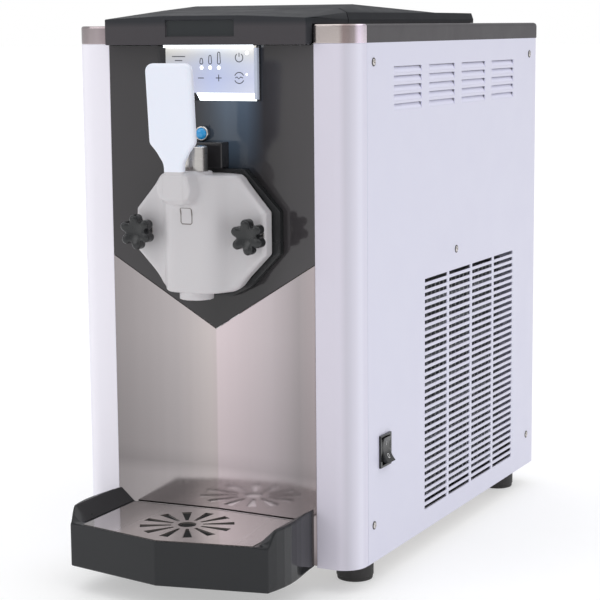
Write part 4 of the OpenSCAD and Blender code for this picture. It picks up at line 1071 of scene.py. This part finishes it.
def inlet_shape(x, y, z):
    u, w = x - INLET_X, z - INLET_Z
    shell = brick(u, y, w, (-13.5, INLET_LO.y, -10), (13.5, INLET_HI.y, 10), 1)
    rim = brick(u, y, w, (-16.5, INLET_HI.y - 2, -12.5), (16.5, INLET_HI.y, 12.5), 1)
    cavity = slab(outline(u, w, [(-12, -8.2), (12, -8.2), (12, 3.6), (7.6, 8.2), (-7.6, 8.2),
                                 (-12, 3.6)]), y, INLET_HI.y - 18, INLET_HI.y + 6, 0.4)
    return smax(np.minimum(shell, rim), -cavity, 0.4)


place(skin("inlet_shell", inlet_shape, INLET_LO, INLET_HI, (0.55, 0.9), 40),
      "power_inlet")
pins = []
for px, pz in ((-7, -2), (0, 2), (7, -2)):
    pins.append((block("pin", (INLET_X + px - 1, INLET_HI.y - 19, INLET_Z + pz - 2),
                       (INLET_X + px + 1, INLET_HI.y - 6, INLET_Z + pz + 2)), Matrix()))
extra(add_bevel(join("inlet_pins", pins), 0.4, 2), "power_inlet", "polished_trim")

# ---------------------------------------------------------------- camera, light and floor

# The photograph's camera: its angles, its place in the local frame and its focal length.
AZIMUTH, ELEVATION, ROLL = (math.radians(a) for a in (26.3375, 8.4921, -0.48946))
CAMERA_AT = (812.95, -1460.45, 512.15)
FOCAL_PX, PHOTO_PX, SENSOR = 1835.536, 600, 36
forward = Vector((-math.sin(AZIMUTH) * math.cos(ELEVATION),
                  math.cos(AZIMUTH) * math.cos(ELEVATION), -math.sin(ELEVATION)))
right = forward.cross(Vector((0, 0, 1))).normalized()
up = right.cross(forward)
cam_x = right * math.cos(ROLL) + up * math.sin(ROLL)
cam_y = up * math.cos(ROLL) - right * math.sin(ROLL)
camera = bpy.data.objects.new("camera", bpy.data.cameras.new("camera"))
camera.data.sensor_width = SENSOR
camera.data.lens = FOCAL_PX * SENSOR / PHOTO_PX
camera.matrix_world = Matrix.Translation(to_row(CAMERA_AT)) @ Matrix(
    (cam_x, cam_y, -forward)).transposed().to_4x4()
SCENE.collection.objects.link(camera)
SCENE.camera = camera

# The camera sees plain white, and the pieces a dimmer, slightly cool sky.
world = bpy.data.worlds.new("studio")
world.use_nodes = True
tree = world.node_tree
seen = fill(tree.nodes["Background"], Color=(1, 1, 1, 1), Strength=1.0)
sky = fill(tree.nodes.new("ShaderNodeBackground"), Color=(0.97, 0.98, 1.0, 1), Strength=0.6)
rays = tree.nodes.new("ShaderNodeLightPath")
pick = tree.nodes.new("ShaderNodeMixShader")
tree.links.new(rays.outputs["Is Camera Ray"], pick.inputs["Fac"])
tree.links.new(sky.outputs["Background"], pick.inputs[1])
tree.links.new(seen.outputs["Background"], pick.inputs[2])
tree.links.new(pick.outputs["Shader"], tree.nodes["World Output"].inputs["Surface"])
SCENE.world = world
SCENE.view_settings.view_transform = "Standard"


def add_light(name, kind, power):
    light = bpy.data.objects.new(name, bpy.data.lights.new(name, kind))
    light.data.energy = power
    SCENE.collection.objects.link(light)
    return light


overhead = add_light("overhead", "SUN", 1.35)
overhead.data.angle = math.radians(100)
overhead.rotation_euler = (math.radians(-8), math.radians(6), 0)
left_box = add_light("left_box", "AREA", 9)
left_box.data.size = 1.4
left_box.location = (-1.7, -2.2, 1.5)
aim = Vector((0, 0, 0.3)) - left_box.location
left_box.rotation_euler = aim.to_track_quat("-Z", "Y").to_euler()

floor_mesh = bpy.data.meshes.new("floor")
FAR = 40        # metres from the middle of the floor to its edges
floor_mesh.from_pydata([(-FAR, -FAR, 0), (FAR, -FAR, 0), (FAR, FAR, 0), (-FAR, FAR, 0)], [],
                       [(0, 1, 2, 3)])
floor = bpy.data.objects.new("floor", floor_mesh)
floor.data.materials.append(material("floor_pale", grey(0.62), 0.8, vary=0.004, tint_scale=0.4,
                                     grain_depth=0, specular=0.1, emission=grey(1.0),
                                     strength=0.42))
SCENE.collection.objects.link(floor)
